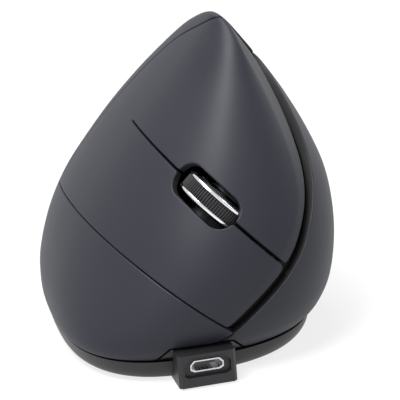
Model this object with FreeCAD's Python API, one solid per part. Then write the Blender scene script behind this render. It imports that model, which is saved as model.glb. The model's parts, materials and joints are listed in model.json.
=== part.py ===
import FreeCAD, Part
import math
import os

# Vertical ergonomic mouse for the right hand. Millimetres. +Z is up, the front with the charging
# port faces -Y, the fingers lie on the -X side and the thumb on the +X side.
# The origin is on the desk, under the middle of the body.

os.makedirs("parts", exist_ok=True)
Vec = FreeCAD.Vector

# Overall size of the body form
BODY_WIDTH = 67.3
BODY_LENGTH = 117.2
BODY_HEIGHT = 74.3

# Shells
WALL = 2.2
SEAM = 0.24
BASE_SEAM_Z = 5.0
BASE_BOTTOM_Z = 0.5
BASE_FLOOR = 1.8
BASE_WALL = 2.8
LIP_HEIGHT = 2.6
LIP_WALL = 1.3
LIP_CLEARANCE = 0.32
THUMB_SCOOP_DEPTH = 6.0
THUMB_SCOOP_LENGTH = 18.0
THUMB_SCOOP_HEIGHT = 20.0

# Keys, their groove and the slit between them
KEY_TILT = 44.07
KEY_YAW = 2.35
GROOVE_WIDTH = 1.9
SLIT_ACROSS = 27.34
SLIT_WIDTH_REAR = 0.4
SLIT_WIDTH_FRONT = 0.75
SLIT_REAR = -11.3
HINGE_BACK = -9.5
HINGE_GAP = 0.3
LOW_SEAM_TILT = 50.57
LOW_SEAM_YAW = -1.1
LOW_SEAM_DISTANCE = 6.24

# Wheel, in the tilted frame of the keys
WHEEL_BACK = -41.6
WHEEL_OUT = 25.65
WHEEL_RADIUS = 9.2
WHEEL_WIDTH = 5.0
RIM_WIDTH = 1.0
RIM_RADIUS_STEP = 0.25
WHEEL_CLEARANCE = 0.7
TYRE_DEPTH = 2.2
TYRE_RIBS = 48
RIB_DEPTH = 0.3
AXLE_RADIUS = 1.25
AXLE_CLEARANCE = 0.05
WELL_LENGTH = 17.8
WELL_WIDTH = 8.2
WELL_CORNER = 3.6
WELL_PITCH = 47.9
WELL_SHIFT = -0.6

# Circuit boards, switches and fittings
KEY_BOARD_OUT = 11.5
KEY_BOARD_THICKNESS = 1.2
KEY_BOARD_FRONT = -51.0
KEY_BOARD_REAR = -24.0
KEY_BOARD_LOW = 9.5
KEY_BOARD_HIGH = 40.5
LEFT_SWITCH_ACROSS = 36.5
RIGHT_SWITCH_ACROSS = 13.5
SWITCH_BACK = -35.5
SWITCH_LENGTH = 12.8
SWITCH_WIDTH = 5.8
SWITCH_HEIGHT = 6.5
PLUNGER_LENGTH = 2.8
PLUNGER_WIDTH = 1.3
PLUNGER_RISE = 0.8
PLUNGER_DEPTH = 1.4
TOUCH_GAP = 0.1
FIT = 0.05
KEY_POST = 3.0
CARRIER_WALL = 1.4
CARRIER_SIDE_GAP = 0.5
CARRIER_BOTTOM_OUT = 12.9
CARRIER_HALF_LENGTH = 6.5
CARRIER_BAR = 1.5
CARRIER_EYE = 3.2
CARRIER_TAB_LENGTH = 5.0
CARRIER_TAB_HALF = 2.2
CRADLE_GAP = 0.12
CRADLE_CORNER = 2.2
CRADLE_WALL = 1.2
CRADLE_HEIGHT = 5.5
ENCODER_WIDTH = 4.4
ENCODER_TOP = 2.4
ENCODER_SIZE = 10.0
LEG_RADIUS = 2.2
WHEEL_TRAVEL = 0.5
MAIN_BOARD_Z = 6.3
MAIN_BOARD_THICKNESS = 1.0
THUMB_TILT = 63.0
THUMB_BOARD_OUT = 31.0
THUMB_BOARD_THICKNESS = 1.2
THUMB_BOARD_WIDTH = 10.0
THUMB_BOARD_LENGTH = 64.0
THUMB_BOARD_POST = 2.2
THUMB_SURFACE_DOWN = -36.0
THUMB_BUTTON_LENGTH = 16.0
THUMB_BUTTON_WIDTH = 6.6
THUMB_BUTTON_GAP = 0.3
THUMB_BUTTON_TRAVEL = 0.6
TRIM_LENGTH = 54.0
TRIM_WIDTH = 13.0
DPI_RADIUS = 2.4
TACT_SIZE = 4.5
TACT_HEIGHT = 2.0
TACT_PLUNGER_RADIUS = 1.1
TACT_PLUNGER_RISE = 1.2

# Charging port
PORT_X = -8.0
PORT_FACE_Y = -59.0
PORT_BLOCK_WIDTH = 13.0
PORT_BLOCK_TOP = 7.9
PORT_BLOCK_DEPTH = 13.0
PORT_WALL = 1.3
PORT_CENTRE_Z = 5.0
INLET_WIDTH = 7.5
INLET_HEIGHT = 2.6
INLET_LENGTH = 5.5
INLET_WALL = 0.3
INLET_SETBACK = 0.7
PORT_RECESS_WIDTH = 10.4
PORT_RECESS_HEIGHT = 4.6
PORT_RECESS_DEPTH = 1.0

# Underside
FOOT_THICKNESS = 0.8
FOOT_LENGTH = 15.0
FOOT_WIDTH = 5.0
SCREW_RADIUS = 1.1
SCREW_HEAD_RADIUS = 2.2
SCREW_HEAD_HEIGHT = 1.4
SCREW_LENGTH = 8.0
SCREW_CLEARANCE = 0.2
BOSS_TOP_Z = 4.3
BOSS_RADIUS = 3.2
SENSOR_X = -4.0
SENSOR_Y = -10.0
SENSOR_WINDOW_LENGTH = 9.0
SENSOR_WINDOW_WIDTH = 6.0
RECEIVER_X = 4.8
RECEIVER_Y = 19.0
RECEIVER_WIDTH = 12.4
RECEIVER_LENGTH = 18.6
RECEIVER_HEIGHT = 4.8
BATTERY_X = -12.6
BATTERY_Y = 17.5
BATTERY_WIDTH = 17.0
BATTERY_LENGTH = 26.0
BATTERY_HEIGHT = 6.5
POWER_SWITCH_X = -4.0
POWER_SWITCH_Y = -27.0
POWER_KNOB_LENGTH = 3.2
POWER_KNOB_WIDTH = 2.6
POWER_TRAVEL = 2.0
POWER_BODY_LENGTH = 8.0
POWER_BODY_WIDTH = 4.0
RECEIVER_GAP = 0.2
BAY_WALL = 1.1

# The form: horizontal sections, each four superellipse quarters through its front, thumb-side, back
# and finger-side points. The rows are drawn for the reference size and stretched to the body's size.
REFERENCE_SIZE = (67.3, 117.2, 74.3)
SECTIONS = [
    # height, front x, y, thumb x, y, back x, y, finger x, y, squareness of the front finger corner
    (3.0, -7.0, -50.5, 20.5, -20.0, 0.0, 48.0, -33.6, -12.0, 2.9),
    (6.0, -6.0, -53.5, 25.2, -20.0, 1.5, 54.0, -34.9, -13.0, 2.9),
    (9.0, -5.0, -55.6, 28.0, -19.0, 2.5, 57.5, -35.1, -12.0, 2.7),
    (14.0, -3.0, -56.7, 30.5, -18.0, 4.0, 60.0, -34.2, -9.0, 2.4),
    (22.0, 0.0, -56.6, 32.0, -17.0, 5.5, 60.5, -31.0, -6.0, 2.15),
    (30.0, 3.0, -54.6, 32.2, -16.0, 6.5, 58.0, -26.6, -6.0, 2.1),
    (38.0, 5.2, -51.0, 31.0, -16.0, 7.4, 52.0, -21.0, -8.0, 2.1),
    (46.5, 6.9, -46.5, 27.8, -16.0, 7.9, 43.5, -14.4, -10.0, 2.1),
    (55.0, 8.3, -41.0, 23.4, -17.0, 8.3, 32.0, -7.2, -12.0, 2.1),
    (62.5, 9.8, -35.5, 18.6, -18.0, 8.9, 19.0, -0.8, -14.0, 2.1),
    (68.5, 10.6, -31.0, 14.3, -19.0, 9.5, 6.0, 3.8, -16.0, 2.1),
    (72.2, 10.4, -27.0, 11.5, -20.0, 9.3, -6.0, 6.6, -18.0, 2.1),
    (73.9, 9.5, -24.0, 9.9, -20.0, 8.9, -14.0, 7.7, -19.0, 2.1),
    (74.3, 9.0, -21.8, 9.3, -20.0, 8.8, -17.6, 8.3, -19.5, 2.1),
]
BASE_SECTIONS = [
    (0.5, -7.0, -50.5, 21.5, -20.0, 0.0, 46.5, -31.0, -12.0, 2.9),
    (1.6, -7.0, -52.0, 23.0, -20.0, 0.5, 49.5, -33.4, -12.0, 2.9),
    (3.2, -6.6, -52.9, 24.0, -20.0, 1.0, 51.8, -34.1, -12.5, 2.9),
    (5.0, -6.3, -53.3, 24.3, -20.0, 1.4, 53.0, -34.4, -12.8, 2.9),
]
SQUARENESS = 2.2
QUARTER_STEPS = 7
SCOOP_Y = 15.0
SCOOP_Z = 34.0
INNER_TOP_ROW = 8.7

# Seams. The groove is seen from the front (x, z); the others from the side (y, z).
GROOVE = [
    (12.5, 80.0), (16.3, 67.0), (17.9, 62.6), (20.9, 54.8), (22.9, 47.0), (23.2, 41.0), (21.9, 34.6),
    (18.1, 26.8), (14.4, 22.2), (9.8, 18.2), (3.5, 13.4), (-0.8, 10.2), (-6.7, 7.3), (-13.0, 4.2),
    (-24.0, -2.0),
]
APEX_X = 9.0
APEX_Y = -21.8
GROOVE_TURN_Y = -10.0
GROOVE_TURN = 0.35
GROOVE_TAPER = [0.2, 0.25, 0.35, 0.7, 1.0, 1.0, 1.0, 1.0, 1.0, 1.0, 1.0, 1.0, 1.0, 1.0, 1.0]
KEY_REAR_SEAM = [
    (-60.0, 84.0), (-32.0, 77.0), (-24.0, 74.6), (-16.0, 71.7), (-2.6, 66.4), (8.0, 59.5), (17.0, 49.0),
    (22.0, 38.0), (24.5, 24.0), (25.0, -5.0),
]
THUMB_REAR_SEAM = [(14.0, 90.0), (24.0, 66.0), (33.0, 50.0), (40.0, 34.0), (43.0, 18.0), (43.0, -5.0)]

SCALE = [BODY_WIDTH / REFERENCE_SIZE[0], BODY_LENGTH / REFERENCE_SIZE[1], BODY_HEIGHT / REFERENCE_SIZE[2]]
FAR = 120.0


def catmull(rows, t):
    """Row t of a table, smooth between its rows."""
    last = len(rows) - 1
    i = min(int(t), last - 1)
    u = t - i
    b = rows[i]
    c = rows[i + 1]
    a = rows[i - 1] if i > 0 else [2 * p - q for p, q in zip(b, c)]
    d = rows[i + 2] if i + 2 <= last else [2 * q - p for p, q in zip(b, c)]
    out = []
    for p, q, r, s in zip(a, b, c, d):
        out.append(0.5 * (2 * q + (r - p) * u + (2 * p - 5 * q + 4 * r - s) * u ** 2
                          + (3 * q - p - 3 * r + s) * u ** 3))
    return out


def row_at_height(rows, height):
    low = 0.0
    high = len(rows) - 1.0
    for _ in range(40):
        middle = (low + high) / 2
        if catmull(rows, middle)[0] * SCALE[2] < height:
            low = middle
        else:
            high = middle
    return low


def form_point(rows, t, angle, scoop=True):
    """A point of the form: angle 0 is the front, 90 the thumb side, 180 the back."""
    z, fx, fy, tx, ty, bx, by, sx, sy, corner = catmull(rows, t)
    quarter = int(angle % 360 // 90)
    turn = math.radians(angle % 360 - 90 * quarter)
    power = 2 / (corner if quarter == 3 else SQUARENESS)
    s = math.sin(turn) ** power
    c = math.cos(turn) ** power
    if quarter == 0:
        x, y = fx + (tx - fx) * s, ty + (fy - ty) * c
    elif quarter == 1:
        x, y = bx + (tx - bx) * c, ty + (by - ty) * s
    elif quarter == 2:
        x, y = bx + (sx - bx) * s, sy + (by - sy) * c
    else:
        x, y = fx + (sx - fx) * c, sy + (fy - sy) * s
    if scoop:
        side = max(0.0, math.sin(math.radians(angle)))
        along = math.exp(-((y - SCOOP_Y) / THUMB_SCOOP_LENGTH) ** 2)
        up = math.exp(-((z - SCOOP_Z) / THUMB_SCOOP_HEIGHT) ** 2)
        x -= THUMB_SCOOP_DEPTH * side * along * up
    return Vec(x * SCALE[0], y * SCALE[1], z * SCALE[2])


def form_normal(rows, t, angle, scoop=True):
    step = 0.02
    low = form_point(rows, max(t - step, 0), angle, scoop)
    high = form_point(rows, min(t + step, len(rows) - 1), angle, scoop)
    left = form_point(rows, t, angle - 1.5, scoop)
    right = form_point(rows, t, angle + 1.5, scoop)
    return (right - left).cross(high - low).normalize()


def section_wire(rows, t, inset, scoop=True):
    """One closed section, moved inwards so that the wall is inset thick square to the surface."""
    points = []
    for i in range(4 * QUARTER_STEPS):
        angle = 90.0 * i / QUARTER_STEPS
        point = form_point(rows, t, angle, scoop)
        if inset:
            normal = form_normal(rows, t, angle, scoop)
            flat = Vec(normal.x, normal.y, 0)
            point = point - flat * (inset / flat.Length ** 2)
        points.append(point)
    curve = Part.BSplineCurve()
    curve.interpolate(Points=points, PeriodicFlag=True)
    return Part.Wire([curve.toShape()])


def form_solid(rows, places, inset=0.0, scoop=True):
    wires = [section_wire(rows, t, inset, scoop) for t in places]
    return Part.makeLoft(wires, True, False)


def box(x0, x1, y0, y1, z0, z1):
    return Part.makeBox(x1 - x0, y1 - y0, z1 - z0, Vec(x0, y0, z0))


def cylinder(x, y, z0, z1, radius):
    return Part.makeCylinder(radius, z1 - z0, Vec(x, y, z0))


def rounded_outline(length, width, corner, z=0.0):
    """A rounded rectangle about the origin, length along Y."""
    a = width / 2
    b = length / 2
    r = min(corner, a - 0.01, b - 0.01)
    k = r * (1 - math.sqrt(0.5))
    edges = []
    for x, y, turn in ((1, 1, 0), (-1, 1, 1), (-1, -1, 2), (1, -1, 3)):
        start = Vec(x * a, y * (b - r), z) if turn % 2 == 0 else Vec(x * (a - r), y * b, z)
        middle = Vec(x * (a - k), y * (b - k), z)
        end = Vec(x * (a - r), y * b, z) if turn % 2 == 0 else Vec(x * a, y * (b - r), z)
        edges.append((start, middle, end))
    ring = []
    for i, (start, middle, end) in enumerate(edges):
        ring.append(Part.Arc(start, middle, end).toShape())
        following = edges[(i + 1) % 4][0]
        if (following - end).Length > 1e-6:
            ring.append(Part.LineSegment(end, following).toShape())
    return Part.Wire(ring)


def rounded_prism(length, width, corner, z0, z1):
    return Part.Face(rounded_outline(length, width, corner, z0)).extrude(Vec(0, 0, z1 - z0))


def curve_prism(curve_points, corners, to_space, reach):
    """The region between a smooth seam curve and its far corners, extruded by reach."""
    curve = Part.BSplineCurve()
    curve.interpolate([to_space(*p) for p in curve_points])
    ends = [curve_points[-1]] + corners + [curve_points[0]]
    edges = [curve.toShape()]
    for p, q in zip(ends, ends[1:]):
        edges.append(Part.LineSegment(to_space(*p), to_space(*q)).toShape())
    return Part.Face(Part.Wire(edges)).extrude(reach)


def side_view(y, z):
    return Vec(-FAR, y * SCALE[1], z * SCALE[2])


def shifted(points, amounts):
    """Curve points that run downwards, each moved towards the finger side by its own amount."""
    out = []
    for i, (x, z) in enumerate(points):
        before = points[max(i - 1, 0)]
        after = points[min(i + 1, len(points) - 1)]
        dx = after[0] - before[0]
        dz = after[1] - before[1]
        length = math.hypot(dx, dz)
        out.append((x + dz / length * amounts[i], z - dx / length * amounts[i]))
    return out


# Frames: the keys, wheel and key board are tilted about Y; the thumb buttons face up and outwards
KEY_ROTATION = FreeCAD.Rotation(Vec(0, 1, 0), -KEY_TILT).multiply(FreeCAD.Rotation(Vec(0, 0, 1), -KEY_YAW))
KEY_FRAME = FreeCAD.Placement(Vec(0, 0, 0), KEY_ROTATION)
LOW_ROTATION = FreeCAD.Rotation(Vec(0, 1, 0), -LOW_SEAM_TILT).multiply(
    FreeCAD.Rotation(Vec(0, 0, 1), -LOW_SEAM_YAW))
LOW_FRAME = FreeCAD.Placement(Vec(0, 0, 0), LOW_ROTATION)
THUMB_FRAME = FreeCAD.Placement(Vec(0, 0, 0), FreeCAD.Rotation(Vec(0, 1, 0), THUMB_TILT))


def placed(shape, frame):
    out = shape.copy()
    out.Placement = frame.multiply(out.Placement)
    return out


def wheel_placed(shape):
    """From a wheel drawn about Z at the origin to its place, its axis across the keys."""
    turned = placed(shape, FreeCAD.Placement(Vec(0, 0, 0), FreeCAD.Rotation(Vec(0, 1, 0), 90)))
    moved = placed(turned, FreeCAD.Placement(Vec(SLIT_ACROSS, WHEEL_BACK, WHEEL_OUT), FreeCAD.Rotation()))
    return placed(moved, KEY_FRAME)


def key_box(a0, a1, b0, b1, n0, n1):
    return placed(box(a0, a1, b0, b1, n0, n1), KEY_FRAME)


def thumb_box(d0, d1, y0, y1, n0, n1):
    return placed(box(d0, d1, y0, y1, n0, n1), THUMB_FRAME)


# Main volumes of the body
ROWS = list(range(len(SECTIONS)))
OUTER = form_solid(SECTIONS, ROWS)
INNER_ROWS = list(range(int(INNER_TOP_ROW) + 1)) + [INNER_TOP_ROW]
INNER = form_solid(SECTIONS, INNER_ROWS, WALL)
INSIDE_WALL = form_solid(SECTIONS, INNER_ROWS, WALL / 2)
ABOVE_BASE = box(-FAR, FAR, -FAR, FAR, BASE_SEAM_Z + SEAM, FAR)
SKIN = OUTER.cut(INNER).common(ABOVE_BASE)


def groove_side(points, far_x):
    """One side of the groove. Behind the keys the groove turns with the ridge, towards the fingers."""
    corners = [(far_x, -2.0), (far_x, 80.0)]
    turn = GROOVE_TURN_Y * SCALE[1]
    front = curve_prism(points, corners, lambda x, z: Vec(x * SCALE[0], -FAR, z * SCALE[2]), Vec(0, FAR + turn, 0))
    rear = curve_prism(points, corners, lambda x, z: Vec(x * SCALE[0], turn, z * SCALE[2]),
                       Vec(-GROOVE_TURN * FAR, FAR, 0))
    return front.fuse(rear)


def thumb_region(gap):
    """What lies to the thumb side of the groove, and before its rear seam."""
    rear_points = [(y - gap, z) for y, z in THUMB_REAR_SEAM]
    rear = curve_prism(rear_points, [(-FAR, -5.0), (-FAR, 90.0)], side_view, Vec(2 * FAR, 0, 0))
    return groove_side(shifted(GROOVE, [-gap] * len(GROOVE)), FAR).common(rear)


def behind_apex(gap):
    """The thumb side of the ridge behind the apex, which the main shell keeps."""
    return box(APEX_X * SCALE[0] - gap, FAR, APEX_Y * SCALE[1] - gap, FAR, 0, FAR)


def key_region(gap, groove_gap):
    """What lies above the low seam, before the rear seam and to the finger side of the groove."""
    widths = [groove_gap * taper for taper in GROOVE_TAPER]
    rear_points = [(y - gap, z - gap) for y, z in KEY_REAR_SEAM]
    rear = curve_prism(rear_points, [(-FAR, -5.0), (-FAR, 84.0)], side_view, Vec(2 * FAR, 0, 0))
    rear = rear.cut(behind_apex(gap))
    low = placed(box(LOW_SEAM_DISTANCE + gap, FAR, -FAR, FAR, -FAR, FAR), LOW_FRAME)
    return groove_side(shifted(GROOVE, widths), -FAR).common(rear).common(low)


def port_tongue(grow):
    """The base rises in a low tongue over the charging port."""
    half = PORT_BLOCK_WIDTH / 2
    top = PORT_BLOCK_TOP + 0.3 + grow
    side = half + 0.4 + grow
    corners = [(PORT_X - side - 3.6, BASE_SEAM_Z - 0.5), (PORT_X - side, top),
               (PORT_X + side, top), (PORT_X + side + 3.6, BASE_SEAM_Z - 0.5)]
    ring = [Vec(x, PORT_FACE_Y - 6, z) for x, z in corners]
    return Part.Face(Part.makePolygon(ring + [ring[0]])).extrude(Vec(0, PORT_BLOCK_DEPTH + 5, 0))


def wheel_well():
    """A rounded slot square to the surface over the wheel."""
    slot = rounded_prism(WELL_LENGTH, WELL_WIDTH, WELL_CORNER, 0.0, 2.5 * WHEEL_RADIUS)
    slot.translate(Vec(0, -WELL_SHIFT, 0))
    slot = placed(slot, FreeCAD.Placement(Vec(0, 0, 0), FreeCAD.Rotation(Vec(1, 0, 0), WELL_PITCH)))
    slot = placed(slot, FreeCAD.Placement(Vec(SLIT_ACROSS, WHEEL_BACK, WHEEL_OUT), FreeCAD.Rotation()))
    return placed(slot, KEY_FRAME)


def wheel_room():
    """The space the wheel turns in, which relieves the inside of the keys."""
    half = WHEEL_WIDTH / 2 + CARRIER_SIDE_GAP + CARRIER_WALL / 2
    return wheel_placed(cylinder(0, 0, -half, half, WHEEL_RADIUS + WHEEL_CLEARANCE))


def slit():
    """The slit between the keys, which widens towards the front."""
    front = -FAR
    rear = SLIT_REAR
    flare = (SLIT_WIDTH_FRONT - SLIT_WIDTH_REAR) / 50.0
    half_rear = SLIT_WIDTH_REAR / 2
    half_front = half_rear + flare * (rear - front) / 2
    ring = [Vec(SLIT_ACROSS - half_rear, rear, 0), Vec(SLIT_ACROSS + half_rear, rear, 0),
            Vec(SLIT_ACROSS + half_front, front, 0), Vec(SLIT_ACROSS - half_front, front, 0)]
    wedge = Part.Face(Part.makePolygon(ring + [ring[0]])).extrude(Vec(0, 0, FAR))
    return placed(wedge.fuse(cylinder(SLIT_ACROSS, rear, 0, FAR, half_rear)), KEY_FRAME)


def at(x, y):
    """A place on the base, which moves with the body's width and length."""
    return Vec(x * SCALE[0], y * SCALE[1], 0)


MAIN_POSTS = [at(-27.2, -26.0), at(-26.4, 6.5), at(-9.0, 39.0)]
THUMB_POSTS = [at(17.4, -24.0), at(16.8, 6.0)]
RIB_HALF = 0.8
THUMB_RIB = 14.0
MAIN_POST_REACH = 45.0
THUMB_POST_REACH = 12.0
KEY_BOARD_LEGS = [at(4.0, -46.0), at(4.0, -27.0), at(15.5, -30.0)]


def screw_post(place, reach, rib=0.0):
    """A hollow post that stands on its boss on the base, up to the shell's wall or with a rib to it."""
    post = Part.makeCone(BOSS_RADIUS - 0.2, BOSS_RADIUS + 0.2, reach, Vec(place.x, place.y, BOSS_TOP_Z))
    if rib:
        post = post.fuse(box(place.x, place.x + rib, place.y - RIB_HALF, place.y + RIB_HALF,
                             BASE_SEAM_Z + LIP_HEIGHT + SEAM, BOSS_TOP_Z + reach))
    return post.common(INSIDE_WALL)


def screw_hole(place):
    return cylinder(place.x, place.y, BOSS_TOP_Z - 1, BOSS_TOP_Z + SCREW_LENGTH, SCREW_RADIUS)


def solid_of(shape):
    """The largest solid of a shape, without the crumbs a cut may leave."""
    return max(shape.Solids, key=lambda s: s.Volume)


# Moulded shells
def make_trim_prism(grow):
    prism = rounded_prism(TRIM_LENGTH + 2 * grow, TRIM_WIDTH + 2 * grow, TRIM_WIDTH / 2 + grow, THUMB_BOARD_OUT, FAR)
    prism.translate(Vec(THUMB_SURFACE_DOWN, 1.0, 0))
    return placed(prism, THUMB_FRAME)


def thumb_button_places():
    """Centres of the two thumb buttons and the small pointer-speed button, along the trim."""
    reach = THUMB_BUTTON_LENGTH / 2 + THUMB_BUTTON_GAP
    middle = 4.0
    return {"forward_button": middle - reach, "back_button": middle + reach,
            "dpi_button": middle - 2 * reach - DPI_RADIUS - 1.4}


def thumb_cap(name, centre, grow):
    if name == "dpi_button":
        cap = cylinder(THUMB_SURFACE_DOWN, centre, THUMB_BOARD_OUT, FAR, DPI_RADIUS + grow)
    else:
        cap = rounded_prism(THUMB_BUTTON_LENGTH + 2 * grow, THUMB_BUTTON_WIDTH + 2 * grow,
                            THUMB_BUTTON_WIDTH / 2 - 0.4 + grow, THUMB_BOARD_OUT, FAR)
        cap.translate(Vec(THUMB_SURFACE_DOWN, centre, 0))
    return placed(cap, THUMB_FRAME)


def thumb_stem(centre):
    """The stem under a thumb button, down to just above its switch."""
    start = THUMB_BOARD_OUT + TACT_HEIGHT + TACT_PLUNGER_RISE + TOUCH_GAP
    stem = box(THUMB_SURFACE_DOWN - 1.2, THUMB_SURFACE_DOWN + 1.2, centre - 1.6, centre + 1.6, start, FAR)
    return placed(stem, THUMB_FRAME).common(INSIDE_WALL)


def make_main_shell():
    cut_out = key_cut()
    shell = SKIN.cut(thumb_region(-SEAM / 2)).cut(cut_out).cut(port_tongue(SEAM))
    shell = solid_of(shell.cut(make_trim_prism(SEAM)))
    for place in MAIN_POSTS:
        shell = shell.fuse(screw_post(place, MAIN_POST_REACH).cut(cut_out)).cut(screw_hole(place))
    return solid_of(shell)


def make_thumb_shell():
    shell = SKIN.common(thumb_region(SEAM / 2)).cut(port_tongue(SEAM)).cut(make_trim_prism(SEAM))
    shell = solid_of(shell)
    for place in THUMB_POSTS:
        shell = shell.fuse(screw_post(place, THUMB_POST_REACH, THUMB_RIB)).cut(screw_hole(place))
    for y in thumb_board_posts():
        post = cylinder(THUMB_SURFACE_DOWN, y, THUMB_BOARD_OUT, FAR, THUMB_BOARD_POST)
        shell = shell.fuse(placed(post, THUMB_FRAME).common(INSIDE_WALL))
    return solid_of(shell)


def thumb_board_posts():
    reach = THUMB_BOARD_LENGTH / 2 - THUMB_BOARD_POST
    return [1.0 - reach, 1.0 + reach]


def make_thumb_controls():
    pieces = {}
    trim = solid_of(SKIN.common(make_trim_prism(0.0)))
    for name, centre in thumb_button_places().items():
        trim = trim.cut(thumb_cap(name, centre, SEAM))
        pieces[name] = solid_of(SKIN.common(thumb_cap(name, centre, 0.0)).fuse(thumb_stem(centre)))
        tact = thumb_box(THUMB_SURFACE_DOWN - TACT_SIZE / 2, THUMB_SURFACE_DOWN + TACT_SIZE / 2,
                         centre - TACT_SIZE / 2, centre + TACT_SIZE / 2,
                         THUMB_BOARD_OUT, THUMB_BOARD_OUT + TACT_HEIGHT)
        socket = cylinder(THUMB_SURFACE_DOWN, centre, THUMB_BOARD_OUT + 0.4, FAR, TACT_PLUNGER_RADIUS + FIT)
        plunger = cylinder(THUMB_SURFACE_DOWN, centre, THUMB_BOARD_OUT + 0.4 + THUMB_BUTTON_TRAVEL + FIT,
                           THUMB_BOARD_OUT + TACT_HEIGHT + TACT_PLUNGER_RISE, TACT_PLUNGER_RADIUS)
        stem = name.replace("button", "switch")
        pieces[stem] = tact.cut(placed(socket, THUMB_FRAME))
        pieces[stem + "_plunger"] = placed(plunger, THUMB_FRAME)
    pieces["thumb_trim"] = solid_of(trim)
    half = THUMB_BOARD_WIDTH / 2
    pieces["thumb_board"] = thumb_box(
        THUMB_SURFACE_DOWN - half, THUMB_SURFACE_DOWN + half, 1.0 - THUMB_BOARD_LENGTH / 2,
        1.0 + THUMB_BOARD_LENGTH / 2, THUMB_BOARD_OUT - THUMB_BOARD_THICKNESS, THUMB_BOARD_OUT)
    return pieces


def plunger_place():
    """Where along the keys their switches are pressed."""
    return SWITCH_BACK - SWITCH_LENGTH / 2 + 3.6


def key_post(across):
    start = KEY_BOARD_OUT + SWITCH_HEIGHT + PLUNGER_RISE + TOUCH_GAP
    half = KEY_POST / 2
    back = plunger_place()
    return key_box(across - half, across + half, back - half, back + half, start, FAR).common(INSIDE_WALL)


def make_keys():
    pieces = {}
    keys = SKIN.common(key_region(SEAM, GROOVE_WIDTH))
    hinge = placed(box(-FAR, FAR, HINGE_BACK, HINGE_BACK + HINGE_GAP, -FAR, FAR), KEY_FRAME)
    behind = placed(box(-FAR, FAR, HINGE_BACK, FAR, -FAR, FAR), KEY_FRAME)
    pieces["key_plate"] = solid_of(keys.common(behind).cut(hinge).cut(slit()))
    front = keys.cut(behind).cut(slit()).cut(wheel_well()).cut(wheel_room())
    upper_side = placed(box(SLIT_ACROSS, FAR, -FAR, FAR, -FAR, FAR), KEY_FRAME)
    pieces["left_button"] = solid_of(solid_of(front.common(upper_side)).fuse(key_post(LEFT_SWITCH_ACROSS)))
    pieces["right_button"] = solid_of(solid_of(front.cut(upper_side)).fuse(key_post(RIGHT_SWITCH_ACROSS)))
    return pieces


# Wheel, drawn about Z and then laid across the keys
def make_wheel():
    pieces = {}
    hub_radius = WHEEL_RADIUS - TYRE_DEPTH
    half = WHEEL_WIDTH / 2
    reach = half + CARRIER_SIDE_GAP + CARRIER_WALL
    hub = cylinder(0, 0, -half + RIM_WIDTH, half - RIM_WIDTH, hub_radius)
    hub = hub.fuse(cylinder(0, 0, -half, half, hub_radius - 1.0))
    web = cylinder(0, 0, 0.9, half + 1, hub_radius - 2.2).cut(cylinder(0, 0, 0.9, half + 1, 3.0))
    hub = hub.cut(web).cut(web.mirror(Vec(0, 0, 0), Vec(0, 0, 1)))
    axle = cylinder(0, 0, -reach - ENCODER_WIDTH - 0.4, reach + 0.6, AXLE_RADIUS)
    pieces["wheel_hub"] = wheel_placed(hub.fuse(axle))
    tyre_radius = WHEEL_RADIUS - RIM_RADIUS_STEP
    ring = []
    pitch = 2 * math.pi / TYRE_RIBS
    for i in range(TYRE_RIBS):
        for share, depth in ((0.0, 0.0), (0.5, 0.0), (0.62, RIB_DEPTH), (0.88, RIB_DEPTH)):
            angle = (i + share) * pitch
            radius = tyre_radius - depth
            ring.append(Vec(radius * math.cos(angle), radius * math.sin(angle), -half + RIM_WIDTH))
    tyre = Part.Face(Part.makePolygon(ring + [ring[0]])).extrude(Vec(0, 0, WHEEL_WIDTH - 2 * RIM_WIDTH))
    pieces["wheel_tyre"] = wheel_placed(tyre.cut(cylinder(0, 0, -half, half, hub_radius)))
    for name, start in (("wheel_rim_lower", -half), ("wheel_rim_upper", half - RIM_WIDTH)):
        disc = cylinder(0, 0, start, start + RIM_WIDTH, WHEEL_RADIUS)
        outer = [edge for edge in disc.Edges if edge.Closed]
        disc = disc.makeFillet(RIM_WIDTH * 0.35, outer)
        pieces[name] = wheel_placed(disc.cut(cylinder(0, 0, start - 1, start + RIM_WIDTH + 1, hub_radius - 1.0)))
    return pieces


def make_carrier():
    """The fork that holds the wheel and its encoder, and slides when the wheel is pressed."""
    inner = WHEEL_WIDTH / 2 + CARRIER_SIDE_GAP
    outer = inner + CARRIER_WALL
    bottom = CARRIER_BOTTOM_OUT - WHEEL_OUT
    foot = bottom + 2.2
    half = CARRIER_HALF_LENGTH
    cheek_line = [Vec(-outer, -half, bottom), Vec(-outer, half, bottom), Vec(-outer, half, foot),
                  Vec(-outer, CARRIER_EYE, 0), Vec(-outer, -CARRIER_EYE, 0), Vec(-outer, -half, foot)]
    plate = Part.Face(Part.makePolygon(cheek_line + [cheek_line[0]])).extrude(Vec(2 * outer, 0, 0))
    eye = Part.makeCylinder(CARRIER_EYE, 2 * outer, Vec(-outer, 0, 0), Vec(1, 0, 0))
    body = plate.fuse(eye)
    body = body.cut(box(-inner, inner, -half + CARRIER_BAR, half - CARRIER_BAR, bottom - 1, CARRIER_EYE + 1))
    body = body.cut(box(-inner, inner, -half - 1, half + 1, foot + 0.6, CARRIER_EYE + 1))
    tab_bottom = KEY_BOARD_OUT + TACT_HEIGHT + TACT_PLUNGER_RISE + TOUCH_GAP - WHEEL_OUT
    tab = box(-CARRIER_TAB_HALF, CARRIER_TAB_HALF, half - CARRIER_BAR, half + CARRIER_TAB_LENGTH,
              tab_bottom, tab_bottom + 1.2)
    riser = box(-CARRIER_TAB_HALF, CARRIER_TAB_HALF, half - CARRIER_BAR, half, bottom, tab_bottom + 1.2)
    body = body.fuse(tab).fuse(riser)
    bore = Part.makeCylinder(AXLE_RADIUS + AXLE_CLEARANCE, 4 * outer, Vec(-2 * outer, 0, 0), Vec(1, 0, 0))
    moved = body.cut(bore)
    moved.translate(Vec(SLIT_ACROSS, WHEEL_BACK, WHEEL_OUT))
    return placed(moved, KEY_FRAME)


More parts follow.
